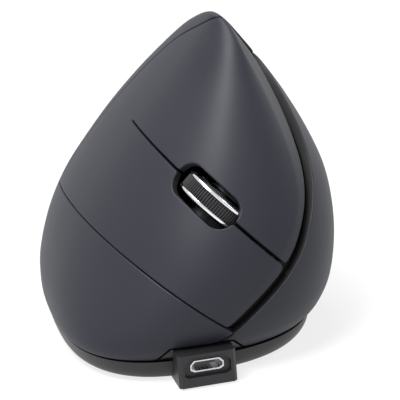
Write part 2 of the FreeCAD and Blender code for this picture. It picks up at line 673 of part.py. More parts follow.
def make_wheel_fittings():
    pieces = {"wheel_carrier": make_carrier()}
    outer = WHEEL_WIDTH / 2 + CARRIER_SIDE_GAP + CARRIER_WALL
    size = ENCODER_SIZE / 2
    high = SLIT_ACROSS - outer
    encoder = box(high - ENCODER_WIDTH, high, WHEEL_BACK - size, WHEEL_BACK + size,
                  WHEEL_OUT - size, WHEEL_OUT + ENCODER_TOP)
    corners = [e for e in encoder.Edges if abs(e.tangentAt(0).x) > 0.9]
    encoder = encoder.makeChamfer(1.2, corners)
    bore = Part.makeCylinder(AXLE_RADIUS + AXLE_CLEARANCE, 4 * outer, Vec(high - 2 * outer, WHEEL_BACK, WHEEL_OUT),
                             Vec(1, 0, 0))
    pieces["wheel_encoder"] = placed(encoder.cut(bore), KEY_FRAME)
    inside = outer + CRADLE_GAP
    half = CARRIER_HALF_LENGTH + CRADLE_GAP
    wall = CRADLE_WALL
    top = KEY_BOARD_OUT + CRADLE_HEIGHT
    rail = KEY_BOARD_OUT + 0.8
    cradle = box(-inside - wall, inside + wall, -half - wall, half + wall, KEY_BOARD_OUT, rail)
    cradle = cradle.cut(box(-inside, inside, -half, half, KEY_BOARD_OUT - 1, rail + 1))
    slot = CARRIER_TAB_HALF + CRADLE_GAP
    cradle = cradle.fuse(box(-slot, slot, -half - wall, -half, KEY_BOARD_OUT, top - 1.8))
    for low, high in ((-inside - wall, -slot), (slot, inside + wall)):
        cradle = cradle.fuse(box(low, high, half, half + wall, KEY_BOARD_OUT, top))
    cradle = cradle.cut(box(-slot, slot, half - 1, half + wall + 1, KEY_BOARD_OUT - 1, rail + 1))
    corner = box(inside + wall - CRADLE_CORNER, FAR, -FAR, -half - wall + CRADLE_CORNER, 0, FAR)
    cradle = cradle.cut(corner)
    cradle.translate(Vec(SLIT_ACROSS, WHEEL_BACK, 0))
    pieces["wheel_cradle"] = placed(solid_of(cradle.removeSplitter()), KEY_FRAME)
    back = WHEEL_BACK + CARRIER_HALF_LENGTH + CARRIER_TAB_LENGTH - 1.8
    size = 3.2 / 2
    tact = box(SLIT_ACROSS - size, SLIT_ACROSS + size, back - size, back + size,
               KEY_BOARD_OUT, KEY_BOARD_OUT + TACT_HEIGHT)
    socket = cylinder(SLIT_ACROSS, back, KEY_BOARD_OUT + 0.4, FAR, TACT_PLUNGER_RADIUS + FIT)
    plunger = cylinder(SLIT_ACROSS, back, KEY_BOARD_OUT + 0.4 + WHEEL_TRAVEL + FIT,
                       KEY_BOARD_OUT + TACT_HEIGHT + TACT_PLUNGER_RISE, TACT_PLUNGER_RADIUS)
    pieces["wheel_switch"] = placed(tact.cut(socket), KEY_FRAME)
    pieces["wheel_switch_plunger"] = placed(plunger, KEY_FRAME)
    return pieces


def make_key_board():
    pieces = {}
    room = form_solid(SECTIONS, INNER_ROWS, WALL + 0.6)
    board = key_box(KEY_BOARD_LOW, KEY_BOARD_HIGH, KEY_BOARD_FRONT, KEY_BOARD_REAR,
                    KEY_BOARD_OUT - KEY_BOARD_THICKNESS, KEY_BOARD_OUT)
    pieces["key_board"] = solid_of(board.common(room))
    for name, across in (("left_switch", LEFT_SWITCH_ACROSS), ("right_switch", RIGHT_SWITCH_ACROSS)):
        low = across - SWITCH_WIDTH / 2
        case = box(low, low + SWITCH_WIDTH, SWITCH_BACK - SWITCH_LENGTH / 2, SWITCH_BACK + SWITCH_LENGTH / 2,
                   KEY_BOARD_OUT, KEY_BOARD_OUT + SWITCH_HEIGHT)
        case = case.makeChamfer(0.5, [e for e in case.Edges if abs(e.tangentAt(0).y) > 0.9])
        back = plunger_place()
        top = KEY_BOARD_OUT + SWITCH_HEIGHT
        half_a = PLUNGER_WIDTH / 2
        half_b = PLUNGER_LENGTH / 2
        well = box(across - half_a - FIT, across + half_a + FIT, back - half_b - FIT, back + half_b + FIT,
                   top - PLUNGER_DEPTH, top + 1)
        plunger = box(across - half_a, across + half_a, back - half_b, back + half_b,
                      top - PLUNGER_DEPTH + PLUNGER_RISE, top + PLUNGER_RISE)
        pieces[name] = placed(case.cut(well), KEY_FRAME)
        pieces[name + "_plunger"] = placed(plunger, KEY_FRAME)
    return pieces


# Base and what stands on it
def base_floor_z():
    return BASE_BOTTOM_Z + BASE_FLOOR


def micro_inlet(width, height, corner):
    """Outline of the charging socket's mouth: wide below, with slanted upper corners, facing -Y."""
    half_w = width / 2
    half_h = height / 2
    line = [(-half_w, half_h - corner), (-half_w + corner, half_h), (half_w - corner, half_h),
            (half_w, half_h - corner), (half_w, -half_h + 0.5), (half_w - 0.9, -half_h),
            (-half_w + 0.9, -half_h), (-half_w, -half_h + 0.5)]
    ring = [Vec(PORT_X + x, 0, PORT_CENTRE_Z + z) for x, z in line]
    return Part.Face(Part.makePolygon(ring + [ring[0]]))


def micro_prism(width, height, corner, y0, y1):
    prism = micro_inlet(width, height, corner).extrude(Vec(0, y1 - y0, 0))
    prism.translate(Vec(0, y0, 0))
    return prism


def make_base():
    rows = list(range(len(BASE_SECTIONS)))
    base = form_solid(BASE_SECTIONS, rows, 0.0, False)
    floor = base_floor_z()
    top_row = rows[-1]
    hollow_rows = [row_at_height(BASE_SECTIONS, floor), 2.0 + 1e-3, top_row]
    hollow = form_solid(BASE_SECTIONS, hollow_rows, BASE_WALL, False)
    base = base.cut(hollow)
    low_rows = ROWS[:5]
    lip = form_solid(SECTIONS, low_rows, WALL + LIP_CLEARANCE)
    shell_foot = box(-FAR, FAR, -FAR, FAR, BASE_SEAM_Z, 2 * BASE_SEAM_Z).cut(lip)
    lip = lip.cut(form_solid(SECTIONS, low_rows, WALL + LIP_CLEARANCE + LIP_WALL))
    lip = lip.common(box(-FAR, FAR, -FAR, FAR, BASE_SEAM_Z - 0.8, BASE_SEAM_Z + LIP_HEIGHT))
    for place in MAIN_POSTS + THUMB_POSTS:
        lip = lip.cut(cylinder(place.x, place.y, 0, FAR, BOSS_RADIUS + 0.7))
    base = base.fuse(lip)
    half = PORT_BLOCK_WIDTH / 2
    block = box(PORT_X - half, PORT_X + half, PORT_FACE_Y, PORT_FACE_Y + PORT_BLOCK_DEPTH,
                BASE_BOTTOM_Z, PORT_BLOCK_TOP)
    front_edges = [e for e in block.Edges if abs(e.tangentAt(0).z) > 0.9 and e.CenterOfMass.y < PORT_FACE_Y + 1]
    block = block.makeChamfer(0.7, front_edges)
    tongue = port_tongue(0.0).common(OUTER).cut(INNER)
    base = base.fuse(block).fuse(tongue)
    room = PORT_BLOCK_WIDTH / 2 - PORT_WALL
    base = base.cut(box(PORT_X - room, PORT_X + room, PORT_FACE_Y + 1.7, PORT_FACE_Y + PORT_BLOCK_DEPTH + 4,
                        floor + 0.7, MAIN_BOARD_Z + MAIN_BOARD_THICKNESS + 0.2))
    base = base.cut(micro_prism(PORT_RECESS_WIDTH, PORT_RECESS_HEIGHT, 1.6, PORT_FACE_Y - 1,
                                PORT_FACE_Y + PORT_RECESS_DEPTH))
    base = base.cut(micro_prism(INLET_WIDTH + 2 * FIT, INLET_HEIGHT + 2 * FIT, 0.9, PORT_FACE_Y - 1,
                                PORT_FACE_Y + 3))
    for place in MAIN_POSTS + THUMB_POSTS:
        base = base.fuse(cylinder(place.x, place.y, BASE_BOTTOM_Z, BOSS_TOP_Z, BOSS_RADIUS))
    for place in MAIN_POSTS + THUMB_POSTS:
        base = base.cut(cylinder(place.x, place.y, 0, BASE_BOTTOM_Z + SCREW_HEAD_HEIGHT + 0.3,
                                 SCREW_HEAD_RADIUS + SCREW_CLEARANCE))
        base = base.cut(cylinder(place.x, place.y, 0, FAR, SCREW_RADIUS + SCREW_CLEARANCE))
    under_board = placed(box(-FAR, FAR, -FAR, FAR, -FAR, KEY_BOARD_OUT - KEY_BOARD_THICKNESS), KEY_FRAME)
    for place in KEY_BOARD_LEGS:
        leg = Part.makeCone(LEG_RADIUS + 0.5, LEG_RADIUS, 45, Vec(place.x, place.y, floor - 0.5))
        base = base.fuse(leg.common(under_board).cut(shell_foot))
    for place in MAIN_BOARD_BOSSES:
        base = base.fuse(cylinder(place.x, place.y, floor - 0.5, MAIN_BOARD_Z, 2.0))
    wall = BAY_WALL + RECEIVER_GAP
    bay_top = BASE_BOTTOM_Z + RECEIVER_HEIGHT + 0.6
    cx = RECEIVER_X * SCALE[0]
    cy = RECEIVER_Y * SCALE[1]
    half_x = RECEIVER_WIDTH / 2
    half_y = RECEIVER_LENGTH / 2
    base = base.fuse(box(cx - half_x - wall, cx + half_x + wall, cy - half_y - wall, cy + half_y + wall,
                         BASE_BOTTOM_Z, bay_top + 1.0))
    base = base.cut(box(cx - half_x - RECEIVER_GAP, cx + half_x + RECEIVER_GAP, cy - half_y - RECEIVER_GAP,
                        cy + half_y + RECEIVER_GAP, 0, bay_top))
    window = rounded_prism(SENSOR_WINDOW_WIDTH, SENSOR_WINDOW_LENGTH, 2.8, 0, floor + 1)
    window.translate(Vec(SENSOR_X, SENSOR_Y, 0))
    base = base.cut(window)
    slot_half = (POWER_KNOB_LENGTH + POWER_TRAVEL) / 2 + 0.3
    slot_side = POWER_KNOB_WIDTH / 2 + 0.2
    base = base.cut(box(POWER_SWITCH_X - slot_half, POWER_SWITCH_X + slot_half, POWER_SWITCH_Y - slot_side,
                        POWER_SWITCH_Y + slot_side, 0, floor + 1))
    base = base.cut(box(POWER_SWITCH_X - slot_half - 1.2, POWER_SWITCH_X + slot_half + 1.2,
                        POWER_SWITCH_Y - slot_side - 1.0, POWER_SWITCH_Y + slot_side + 1.0,
                        0, BASE_BOTTOM_Z + 0.6))
    for foot in foot_prisms(0.15):
        base = base.cut(foot)
    return solid_of(base)


MAIN_BOARD_BOSSES = [at(-20.0, -36.0), at(-23.0, -2.0), at(8.0, -4.0)]
MAIN_BOARD_CORNERS = [(-24.0, -36.0), (-19.0, -43.0), (PORT_X - 4.5, -46.0), (PORT_X + 4.5, -46.0), (3.0, -42.0),
                      (12.0, -36.0), (12.0, 1.0), (-26.5, 1.0), (-26.5, -20.5), (-24.0, -22.0)]
FEET = [(-19.0, -43.0, 60.0), (10.0, -37.0, -52.0), (-21.5, 19.0, -15.0), (3.5, 39.5, 62.0)]


def foot_prisms(grow):
    """Low-friction pads: racetracks, each turned to follow the edge of the base."""
    feet = []
    for x, y, turn in FEET:
        foot = rounded_prism(FOOT_LENGTH + 2 * grow, FOOT_WIDTH + 2 * grow, FOOT_WIDTH / 2 + grow, 0,
                             FOOT_THICKNESS)
        foot.rotate(Vec(0, 0, 0), Vec(0, 0, 1), turn)
        foot.translate(at(x, y))
        feet.append(foot)
    return feet


def make_electronics():
    pieces = {}
    top = MAIN_BOARD_Z + MAIN_BOARD_THICKNESS
    ring = [at(x, y) + Vec(0, 0, MAIN_BOARD_Z) for x, y in MAIN_BOARD_CORNERS]
    board = Part.Face(Part.makePolygon(ring + [ring[0]])).extrude(Vec(0, 0, MAIN_BOARD_THICKNESS))
    ear = box(PORT_X - 4.6, PORT_X + 4.6, PORT_FACE_Y + 1.9, -44.0 * SCALE[1], MAIN_BOARD_Z, top)
    board = board.fuse(ear).removeSplitter()
    for place in KEY_BOARD_LEGS:
        board = board.cut(cylinder(place.x, place.y, 0, FAR, LEG_RADIUS + 0.8))
    board = board.cut(box(SENSOR_X - 3.0, SENSOR_X + 3.0, SENSOR_Y - 2.0, SENSOR_Y + 2.0, 0, FAR))
    pieces["main_board"] = solid_of(board)
    mouth = PORT_FACE_Y + INLET_SETBACK
    shell = micro_prism(INLET_WIDTH, INLET_HEIGHT, 0.9, mouth, mouth + INLET_LENGTH)
    inside = micro_prism(INLET_WIDTH - 2 * INLET_WALL, INLET_HEIGHT - 2 * INLET_WALL, 0.8, mouth - 1,
                         mouth + INLET_LENGTH - 0.8)
    blade = box(PORT_X - 1.9, PORT_X + 1.9, mouth + 0.9, mouth + INLET_LENGTH, PORT_CENTRE_Z + 0.1,
                PORT_CENTRE_Z + 0.6)
    pieces["charging_socket"] = shell.cut(inside)
    pieces["charging_socket_blade"] = blade.cut(box(-FAR, FAR, mouth + INLET_LENGTH - 0.8, FAR, 0, FAR))
    sensor = box(SENSOR_X - 5.0, SENSOR_X + 5.0, SENSOR_Y - 4.5, SENSOR_Y + 4.5, top, top + 2.6)
    pieces["optical_sensor"] = sensor.makeChamfer(0.6, sensor.Faces[5].Edges)
    floor = base_floor_z()
    lens = box(SENSOR_X - 9.0, SENSOR_X + 9.0, SENSOR_Y - 6.0, SENSOR_Y + 6.0, floor, floor + 1.0)
    lens = lens.fuse(cylinder(SENSOR_X, SENSOR_Y, BASE_BOTTOM_Z + 0.8, MAIN_BOARD_Z - 0.1, 2.4))
    pieces["sensor_lens"] = lens.fuse(box(SENSOR_X + 2.0, SENSOR_X + 8.0, SENSOR_Y - 2.0, SENSOR_Y + 2.0,
                                          floor, floor + 2.8))
    body = box(POWER_SWITCH_X - POWER_BODY_LENGTH / 2, POWER_SWITCH_X + POWER_BODY_LENGTH / 2,
               POWER_SWITCH_Y - POWER_BODY_WIDTH / 2, POWER_SWITCH_Y + POWER_BODY_WIDTH / 2,
               floor + 0.9, MAIN_BOARD_Z)
    pieces["power_switch"] = body
    knob_x = POWER_SWITCH_X - POWER_TRAVEL / 2
    knob = box(knob_x - POWER_KNOB_LENGTH / 2, knob_x + POWER_KNOB_LENGTH / 2,
               POWER_SWITCH_Y - POWER_KNOB_WIDTH / 2, POWER_SWITCH_Y + POWER_KNOB_WIDTH / 2,
               BASE_BOTTOM_Z + 0.2, floor + 0.9 - FIT)
    for i in (-1, 0, 1):
        knob = knob.cut(box(knob_x + i * 0.9 - 0.15, knob_x + i * 0.9 + 0.15, -FAR, FAR, 0, BASE_BOTTOM_Z + 0.5))
    pieces["power_knob"] = knob
    battery = rounded_prism(BATTERY_LENGTH, BATTERY_WIDTH, 1.6, floor, floor + BATTERY_HEIGHT)
    battery = battery.makeFillet(1.2, [e for e in battery.Edges if e.CenterOfMass.z > floor + BATTERY_HEIGHT - 0.01])
    battery.translate(at(BATTERY_X, BATTERY_Y))
    pieces["battery"] = battery
    plug_x = BATTERY_X * SCALE[0]
    plug = box(plug_x - 3.0, plug_x + 3.0, -5.0, -0.5, top, top + 2.6)
    pieces["battery_plug"] = plug
    lead_z = top + 1.3
    end_y = BATTERY_Y * SCALE[1] - BATTERY_LENGTH / 2
    for i, name in ((-1, "battery_lead_negative"), (1, "battery_lead_positive")):
        pieces[name] = Part.makeCylinder(0.55, end_y + 0.5, Vec(plug_x + 1.2 * i, -0.5, lead_z), Vec(0, 1, 0))
    cx = RECEIVER_X * SCALE[0]
    cy = RECEIVER_Y * SCALE[1]
    low = BASE_BOTTOM_Z + 0.3
    split = cy + RECEIVER_LENGTH / 2 - 6.5
    cap = box(cx - RECEIVER_WIDTH / 2, cx + RECEIVER_WIDTH / 2, split, cy + RECEIVER_LENGTH / 2,
              low, low + RECEIVER_HEIGHT)
    pieces["receiver_cap"] = cap.makeFillet(0.8, [e for e in cap.Edges if e.CenterOfMass.y > split + 6.4])
    pieces["receiver_plug"] = box(cx - 5.9, cx + 5.9, cy - RECEIVER_LENGTH / 2, split, low + 0.15,
                                  low + RECEIVER_HEIGHT - 0.15)
    return pieces


def make_cables():
    pieces = {}
    top = MAIN_BOARD_Z + MAIN_BOARD_THICKNESS
    board_end = KEY_FRAME.multVec(Vec(KEY_BOARD_LOW + 1.5, -30.0, KEY_BOARD_OUT - KEY_BOARD_THICKNESS))
    foot_x = board_end.x - 5.0
    line = [Vec(foot_x, -36.0, top), Vec(foot_x, -36.0, top + 1.5), Vec(board_end.x - 2.5, -36.0, board_end.z - 2.5),
            Vec(board_end.x, -36.0, board_end.z - 0.1)]
    pieces["key_ribbon"] = ribbon(line, 10.0, 0.5)
    thumb_end = THUMB_FRAME.multVec(Vec(THUMB_SURFACE_DOWN + THUMB_BOARD_WIDTH / 2 - 1.2, 0.0,
                                        THUMB_BOARD_OUT - THUMB_BOARD_THICKNESS))
    line = [Vec(9.0, -20.0, top), Vec(9.0, -20.0, top + 6), Vec(thumb_end.x - 1.6, -20.0, thumb_end.z - 12),
            Vec(thumb_end.x - 0.6, -20.0, thumb_end.z - 0.05)]
    pieces["thumb_ribbon"] = ribbon(line, 5.0, 0.5)
    return pieces


def ribbon(line, width, thickness):
    """A flat cable bent in the XZ plane along a smooth line."""
    curve = Part.BSplineCurve()
    curve.interpolate(line)
    other = Part.BSplineCurve()
    other.interpolate([p + Vec(thickness, 0, 0) for p in line])
    a = curve.toShape()
    b = other.toShape()
    edges = [a, Part.LineSegment(line[-1], line[-1] + Vec(thickness, 0, 0)).toShape(), b,
             Part.LineSegment(line[0] + Vec(thickness, 0, 0), line[0]).toShape()]
    return Part.Face(Part.Wire(Part.__sortEdges__(edges))).extrude(Vec(0, width, 0))


def make_fasteners():
    screws = []
    for place in MAIN_POSTS + THUMB_POSTS:
        head_top = BASE_BOTTOM_Z + SCREW_HEAD_HEIGHT + 0.3
        screw = cylinder(place.x, place.y, head_top - SCREW_HEAD_HEIGHT, head_top, SCREW_HEAD_RADIUS)
        cross = box(-1.4, 1.4, -0.3, 0.3, 0, head_top - SCREW_HEAD_HEIGHT + 0.7)
        cross = cross.fuse(box(-0.3, 0.3, -1.4, 1.4, 0, head_top - SCREW_HEAD_HEIGHT + 0.7))
        cross.translate(Vec(place.x, place.y, 0))
        shank = cylinder(place.x, place.y, head_top, BOSS_TOP_Z + SCREW_LENGTH - 2.0, SCREW_RADIUS)
        screws.append(screw.fuse(shank).cut(cross))
    return {"case_screws": Part.makeCompound(screws), "glide_feet": Part.makeCompound(foot_prisms(0.0))}


def key_cut():
    """What the keys and their plate take out of the main shell."""
    rear = curve_prism(KEY_REAR_SEAM, [(-FAR, -5.0), (-FAR, 84.0)], side_view, Vec(2 * FAR, 0, 0))
    low = placed(box(LOW_SEAM_DISTANCE, FAR, -FAR, FAR, -FAR, FAR), LOW_FRAME)
    return rear.cut(behind_apex(0.0)).common(low)


def middle_of_body():
    """The point on the desk under the middle of the whole body's bounding box."""
    bounds = OUTER.optimalBoundingBox(False, False)
    return Vec((bounds.XMin + bounds.XMax) / 2, (PORT_FACE_Y + bounds.YMax) / 2, 0)


def export(name, shape, origin):
    shape.translate(-origin)
    shape.exportStep("parts/" + name + ".step")
    print(name, len(shape.Solids), round(shape.Volume, 1), "ok" if shape.isValid() else "INVALID")


def main():
    pieces = {"main_shell": make_main_shell(), "thumb_shell": make_thumb_shell(), "base_shell": make_base()}
    for group in (make_keys, make_thumb_controls, make_wheel, make_wheel_fittings, make_key_board,
                  make_electronics, make_cables, make_fasteners):
        pieces.update(group())
    origin = middle_of_body()
    print("origin", origin)
    for name, shape in pieces.items():
        export(name, shape, origin)


if __name__ == "__main__":
    main()
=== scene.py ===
import bpy
import json
import math
import numpy as np
from bpy.props import FloatProperty, FloatVectorProperty, IntProperty, PointerProperty
from mathutils import Matrix, Vector

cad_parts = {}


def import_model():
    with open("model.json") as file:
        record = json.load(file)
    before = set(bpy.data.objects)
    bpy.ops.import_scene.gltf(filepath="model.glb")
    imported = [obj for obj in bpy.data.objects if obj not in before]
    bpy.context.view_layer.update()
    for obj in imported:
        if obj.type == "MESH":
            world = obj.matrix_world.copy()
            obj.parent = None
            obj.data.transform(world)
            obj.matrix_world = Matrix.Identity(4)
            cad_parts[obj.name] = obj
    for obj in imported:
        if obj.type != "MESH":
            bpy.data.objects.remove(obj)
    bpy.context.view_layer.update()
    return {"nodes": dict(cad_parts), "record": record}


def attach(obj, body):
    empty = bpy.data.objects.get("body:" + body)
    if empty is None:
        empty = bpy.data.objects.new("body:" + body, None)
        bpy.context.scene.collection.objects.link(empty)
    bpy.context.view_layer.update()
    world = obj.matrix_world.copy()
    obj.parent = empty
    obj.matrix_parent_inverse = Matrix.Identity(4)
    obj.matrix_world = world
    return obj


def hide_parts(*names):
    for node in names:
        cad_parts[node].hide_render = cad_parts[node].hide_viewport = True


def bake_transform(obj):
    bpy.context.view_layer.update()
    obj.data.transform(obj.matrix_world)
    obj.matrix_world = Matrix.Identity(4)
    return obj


bl_info = {
    "name": "Vertical mouse",
    "version": (1, 0, 0),
    "blender": (4, 5, 0),
    "location": "View3D > Sidebar > Mouse",
    "description": "Builds the visible surfaces, finishes and stage of a vertical mouse",
    "category": "Object",
}

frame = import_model()
NODES = frame["nodes"]
MM = 0.001
# The middle of the body's box on the floor, where the frame has its origin
ORIGIN = np.array((-1.530490582690902, 0.8552616940487532, 0.0))
FAR = 50.0
SNAP = 0.015

# The form, in millimetres until mesh_piece turns it into metres: height, then the front, thumb-side, back and
# finger-side points of each section, and the squareness of its front finger corner
SECTIONS = np.array([
    (3.0, -7.0, -50.5, 20.5, -20.0, 0.0, 48.0, -33.6, -12.0, 2.9),
    (6.0, -6.0, -53.5, 25.2, -20.0, 1.5, 54.0, -34.9, -13.0, 2.9),
    (9.0, -5.0, -55.6, 28.0, -19.0, 2.5, 57.5, -35.1, -12.0, 2.7),
    (14.0, -3.0, -56.7, 30.5, -18.0, 4.0, 60.0, -34.2, -9.0, 2.4),
    (22.0, 0.0, -56.6, 32.0, -17.0, 5.5, 60.5, -31.0, -6.0, 2.15),
    (30.0, 3.0, -54.6, 32.2, -16.0, 6.5, 58.0, -26.6, -6.0, 2.1),
    (38.0, 5.2, -51.0, 31.0, -16.0, 7.4, 52.0, -21.0, -8.0, 2.1),
    (46.5, 6.9, -46.5, 27.8, -16.0, 7.9, 43.5, -14.4, -10.0, 2.1),
    (55.0, 8.3, -41.0, 23.4, -17.0, 8.3, 32.0, -7.2, -12.0, 2.1),
    (62.5, 9.8, -35.5, 18.6, -18.0, 8.9, 19.0, -0.8, -14.0, 2.1),
    (68.5, 10.6, -31.0, 14.3, -19.0, 9.5, 6.0, 3.8, -16.0, 2.1),
    (72.2, 10.4, -27.0, 11.5, -20.0, 9.3, -6.0, 6.6, -18.0, 2.1),
    (73.9, 9.5, -24.0, 9.9, -20.0, 8.9, -14.0, 7.7, -19.0, 2.1),
    (74.3, 9.0, -21.8, 9.3, -20.0, 8.8, -17.6, 8.3, -19.5, 2.1),
])
SQUARENESS = 2.2
QUARTER_STEPS = 7
SCOOP_Y, SCOOP_Z, SCOOP_DEPTH, SCOOP_LENGTH, SCOOP_HEIGHT = 15.0, 34.0, 6.0, 18.0, 20.0
SEAM = 0.24
BASE_SEAM_Z = 5.0
PORT_X = -8.0
PORT_BLOCK_WIDTH = 13.0
PORT_BLOCK_TOP = 7.9
GROOVE = [
    (12.5, 80.0), (16.3, 67.0), (17.9, 62.6), (20.9, 54.8), (22.9, 47.0), (23.2, 41.0), (21.9, 34.6),
    (18.1, 26.8), (14.4, 22.2), (9.8, 18.2), (3.5, 13.4), (-0.8, 10.2), (-6.7, 7.3), (-13.0, 4.2),
    (-24.0, -2.0),
]
GROOVE_TAPER = [0.2, 0.25, 0.35, 0.7, 1.0, 1.0, 1.0, 1.0, 1.0, 1.0, 1.0, 1.0, 1.0, 1.0, 1.0]
GROOVE_TURN_Y = -10.0
GROOVE_TURN = 0.35
CREASE = [
    (7.0, 78.0), (11.2, 69.2), (14.7, 59.9), (16.9, 51.4), (18.0, 44.1), (18.1, 38.0), (16.3, 32.2),
    (12.2, 26.8), (8.8, 22.8), (3.2, 18.2), (-0.5, 15.2), (-2.8, 13.2), (-9.0, 8.4),
]
KEY_REAR_SEAM = [
    (-60.0, 84.0), (-32.0, 77.0), (-24.0, 74.6), (-16.0, 71.7), (-2.6, 66.4), (8.0, 59.5), (17.0, 49.0),
    (22.0, 38.0), (24.5, 24.0), (25.0, -5.0),
]
THUMB_REAR_SEAM = [(14.0, 90.0), (24.0, 66.0), (33.0, 50.0), (40.0, 34.0), (43.0, 18.0), (43.0, -5.0)]
APEX_X, APEX_Y = 9.0, -21.8
SLIT_ACROSS, SLIT_REAR = 27.34, -11.3
SLIT_HALF_WIDTH, SLIT_WIDENING = 0.2, 0.0035
LOW_SEAM_DISTANCE = 6.24
WHEEL_BACK, WHEEL_OUT = -41.6, 25.65
WELL_PITCH, WELL_SHIFT, WELL_CORNER = 47.9, -0.6, 3.6
KEY_CORNER, GROOVE_CORNER, SLOT_CORNER = 1.1, 0.6, 0.5
CREASE_SOFTNESS = 0.35
TONGUE_BACK, TONGUE_FOOT, TONGUE_CORNER = -47.0, 3.6, 0.4
TONGUE_SIDE_GAP, TONGUE_TOP_GAP, TONGUE_ROOT = 0.4, 0.3, 0.5
HINGE_START, HINGE_END = -6.0, -12.5
THUMB_SURFACE_DOWN = -36.0
THUMB_SURFACE_FROM = 20.0
TRIM_CENTRE_Y = 1.0
TRIM_LENGTH, TRIM_WIDTH = 54.0, 13.0
BUTTON_LENGTH, BUTTON_WIDTH, BUTTON_GAP, DPI_RADIUS = 16.0, 6.6, 0.3, 2.4
BUTTONS_MIDDLE = 4.0
BUTTON_CORNER, DPI_GAP = 2.9, 1.4
CAMERA_TURNS = (-12.0, 15.5, 4.8)
CAMERA_DISTANCE = 430.0
CAMERA_TARGET = (0.0, -22.0, 36.0)
PIXELS_PER_MM, PHOTO_PIXELS, CAMERA_SHIFT_PIXELS = 4.31, 400.0, (7.0, -18.0)
RIM_DEPTH, RIM_WIDTH, RIM_ROUNDING = 2.4, 1.0, 0.16
TYRE_STEP, TYRE_DEPTH, TYRE_CROWN, TYRE_ROUNDING = 0.62, 1.6, 0.1, 0.2
RIB_END_GAP = 0.06
# Name, place, aim, width in metres, and power in watts
LAMPS = (
    ("key_lamp", (-0.5, -0.4, 1.15), (0.0, 0.0, 0.04), 0.6, 19.0),
    ("top_lamp", (-0.1, 0.1, 1.25), (0.0, 0.0, 0.04), 0.7, 8.0),
    ("right_lamp", (0.9, 0.35, 0.45), (0.0, 0.0, 0.03), 0.4, 3.0),
)
FLOOR_HALF = 3.0
WHEEL_SEGMENTS = 160
# One rib across its pitch: share of the pitch, and height over the tyre
RIB_SHAPE = [
    (-0.36, -0.12), (-0.3, 0.16), (-0.17, 0.27), (0.0, 0.3), (0.17, 0.27), (0.3, 0.16), (0.36, -0.12),
]
FIRST_ROW, TIP_RISE = 0.55, 0.12
SHELL_WALL, KEY_WALL, TRIM_WALL, BUTTON_WALL = 2.0, 1.9, 1.8, 2.0
TRIM_ROLL, BUTTON_ROLL = 0.35, 0.5
LINER_DEPTH, LINER_WALL, LINER_ROLL = 2.75, 0.8, 0.2
LINER_MIDDLE, LINER_HALF_WIDTH, LINER_BOTTOM = 1.0, 2.6, 7.0
LINER_PAST_LOW_SEAM, LINER_PAST_REAR_SEAM = 3.0, 1.5


def turn_about(axis, degrees):
    return np.array(Matrix.Rotation(math.radians(degrees), 3, axis))


KEY_TURN = turn_about("Y", -44.07) @ turn_about("Z", -2.35)
LOW_TURN = turn_about("Y", -50.57) @ turn_about("Z", 1.1)
THUMB_TURN = turn_about("Y", 63.0)
WELL_TURN = KEY_TURN @ turn_about("X", WELL_PITCH)
WHEEL_CENTRE = KEY_TURN @ np.array((SLIT_ACROSS, WHEEL_BACK, WHEEL_OUT))
WHEEL_TURN = KEY_TURN @ turn_about("Y", 90.0)


# The body's form
def between_rows(rows, t):
    """Rows of a table at the places t, smooth between its own rows."""
    last = len(rows) - 1
    i = np.clip(np.floor(t).astype(int), 0, last - 1)
    u = (t - i)[:, None]
    b, c = rows[i], rows[i + 1]
    a = np.where((i > 0)[:, None], rows[np.maximum(i - 1, 0)], 2 * b - c)
    d = np.where((i + 2 <= last)[:, None], rows[np.minimum(i + 2, last)], 2 * c - b)
    bend, twist = 2 * a - 5 * b + 4 * c - d, 3 * b - a - 3 * c + d
    return 0.5 * (2 * b + (c - a) * u + bend * u ** 2 + twist * u ** 3)


def section_points(row):
    """The drawn points of one section, all the way round, from the front by the thumb side."""
    z, fx, fy, tx, ty, bx, by, sx, sy, corner = row
    points = []
    for i in range(4 * QUARTER_STEPS):
        quarter, step = divmod(i, QUARTER_STEPS)
        turn = math.radians(90.0 * step / QUARTER_STEPS)
        power = 2 / (corner if quarter == 3 else SQUARENESS)
        s, c = math.sin(turn) ** power, math.cos(turn) ** power
        if quarter == 0:
            x, y = fx + (tx - fx) * s, ty + (fy - ty) * c
        elif quarter == 1:
            x, y = bx + (tx - bx) * c, ty + (by - ty) * s
        elif quarter == 2:
            x, y = bx + (sx - bx) * s, sy + (by - sy) * c
        else:
            x, y = fx + (sx - fx) * c, sy + (fy - sy) * s
        side = max(0.0, math.sin(math.radians(90.0 * i / QUARTER_STEPS)))
        x -= (SCOOP_DEPTH * side * math.exp(-((y - SCOOP_Y) / SCOOP_LENGTH) ** 2)
              * math.exp(-((z - SCOOP_Z) / SCOOP_HEIGHT) ** 2))
        points.append((x, y, z))
    return np.array(points)


def closed_curve(points, steps):
    """A smooth closed curve through the points, with the same number of steps in each span."""
    n = len(points)
    h = np.linalg.norm(np.roll(points, -1, 0) - points, axis=1)
    before = np.roll(h, 1)
    system = np.zeros((n, n))
    index = np.arange(n)
    system[index, index] = 2 * (before + h)
    system[index, (index + 1) % n] = before
    system[index, (index - 1) % n] = h
    rise = (np.roll(points, -1, 0) - points) / h[:, None]
    right = 3 * (h[:, None] * np.roll(rise, 1, 0) + before[:, None] * rise)
    slope = np.linalg.solve(system, right)
    u = (np.arange(steps) / steps)[None, :, None]
    p, q = points[:, None], np.roll(points, -1, 0)[:, None]
    m, k = (slope * h[:, None])[:, None], (np.roll(slope, -1, 0) * h[:, None])[:, None]
    out = ((2 * u ** 3 - 3 * u ** 2 + 1) * p + (u ** 3 - 2 * u ** 2 + u) * m
           + (3 * u ** 2 - 2 * u ** 3) * q + (u ** 3 - u ** 2) * k)
    return out.reshape(-1, 3)


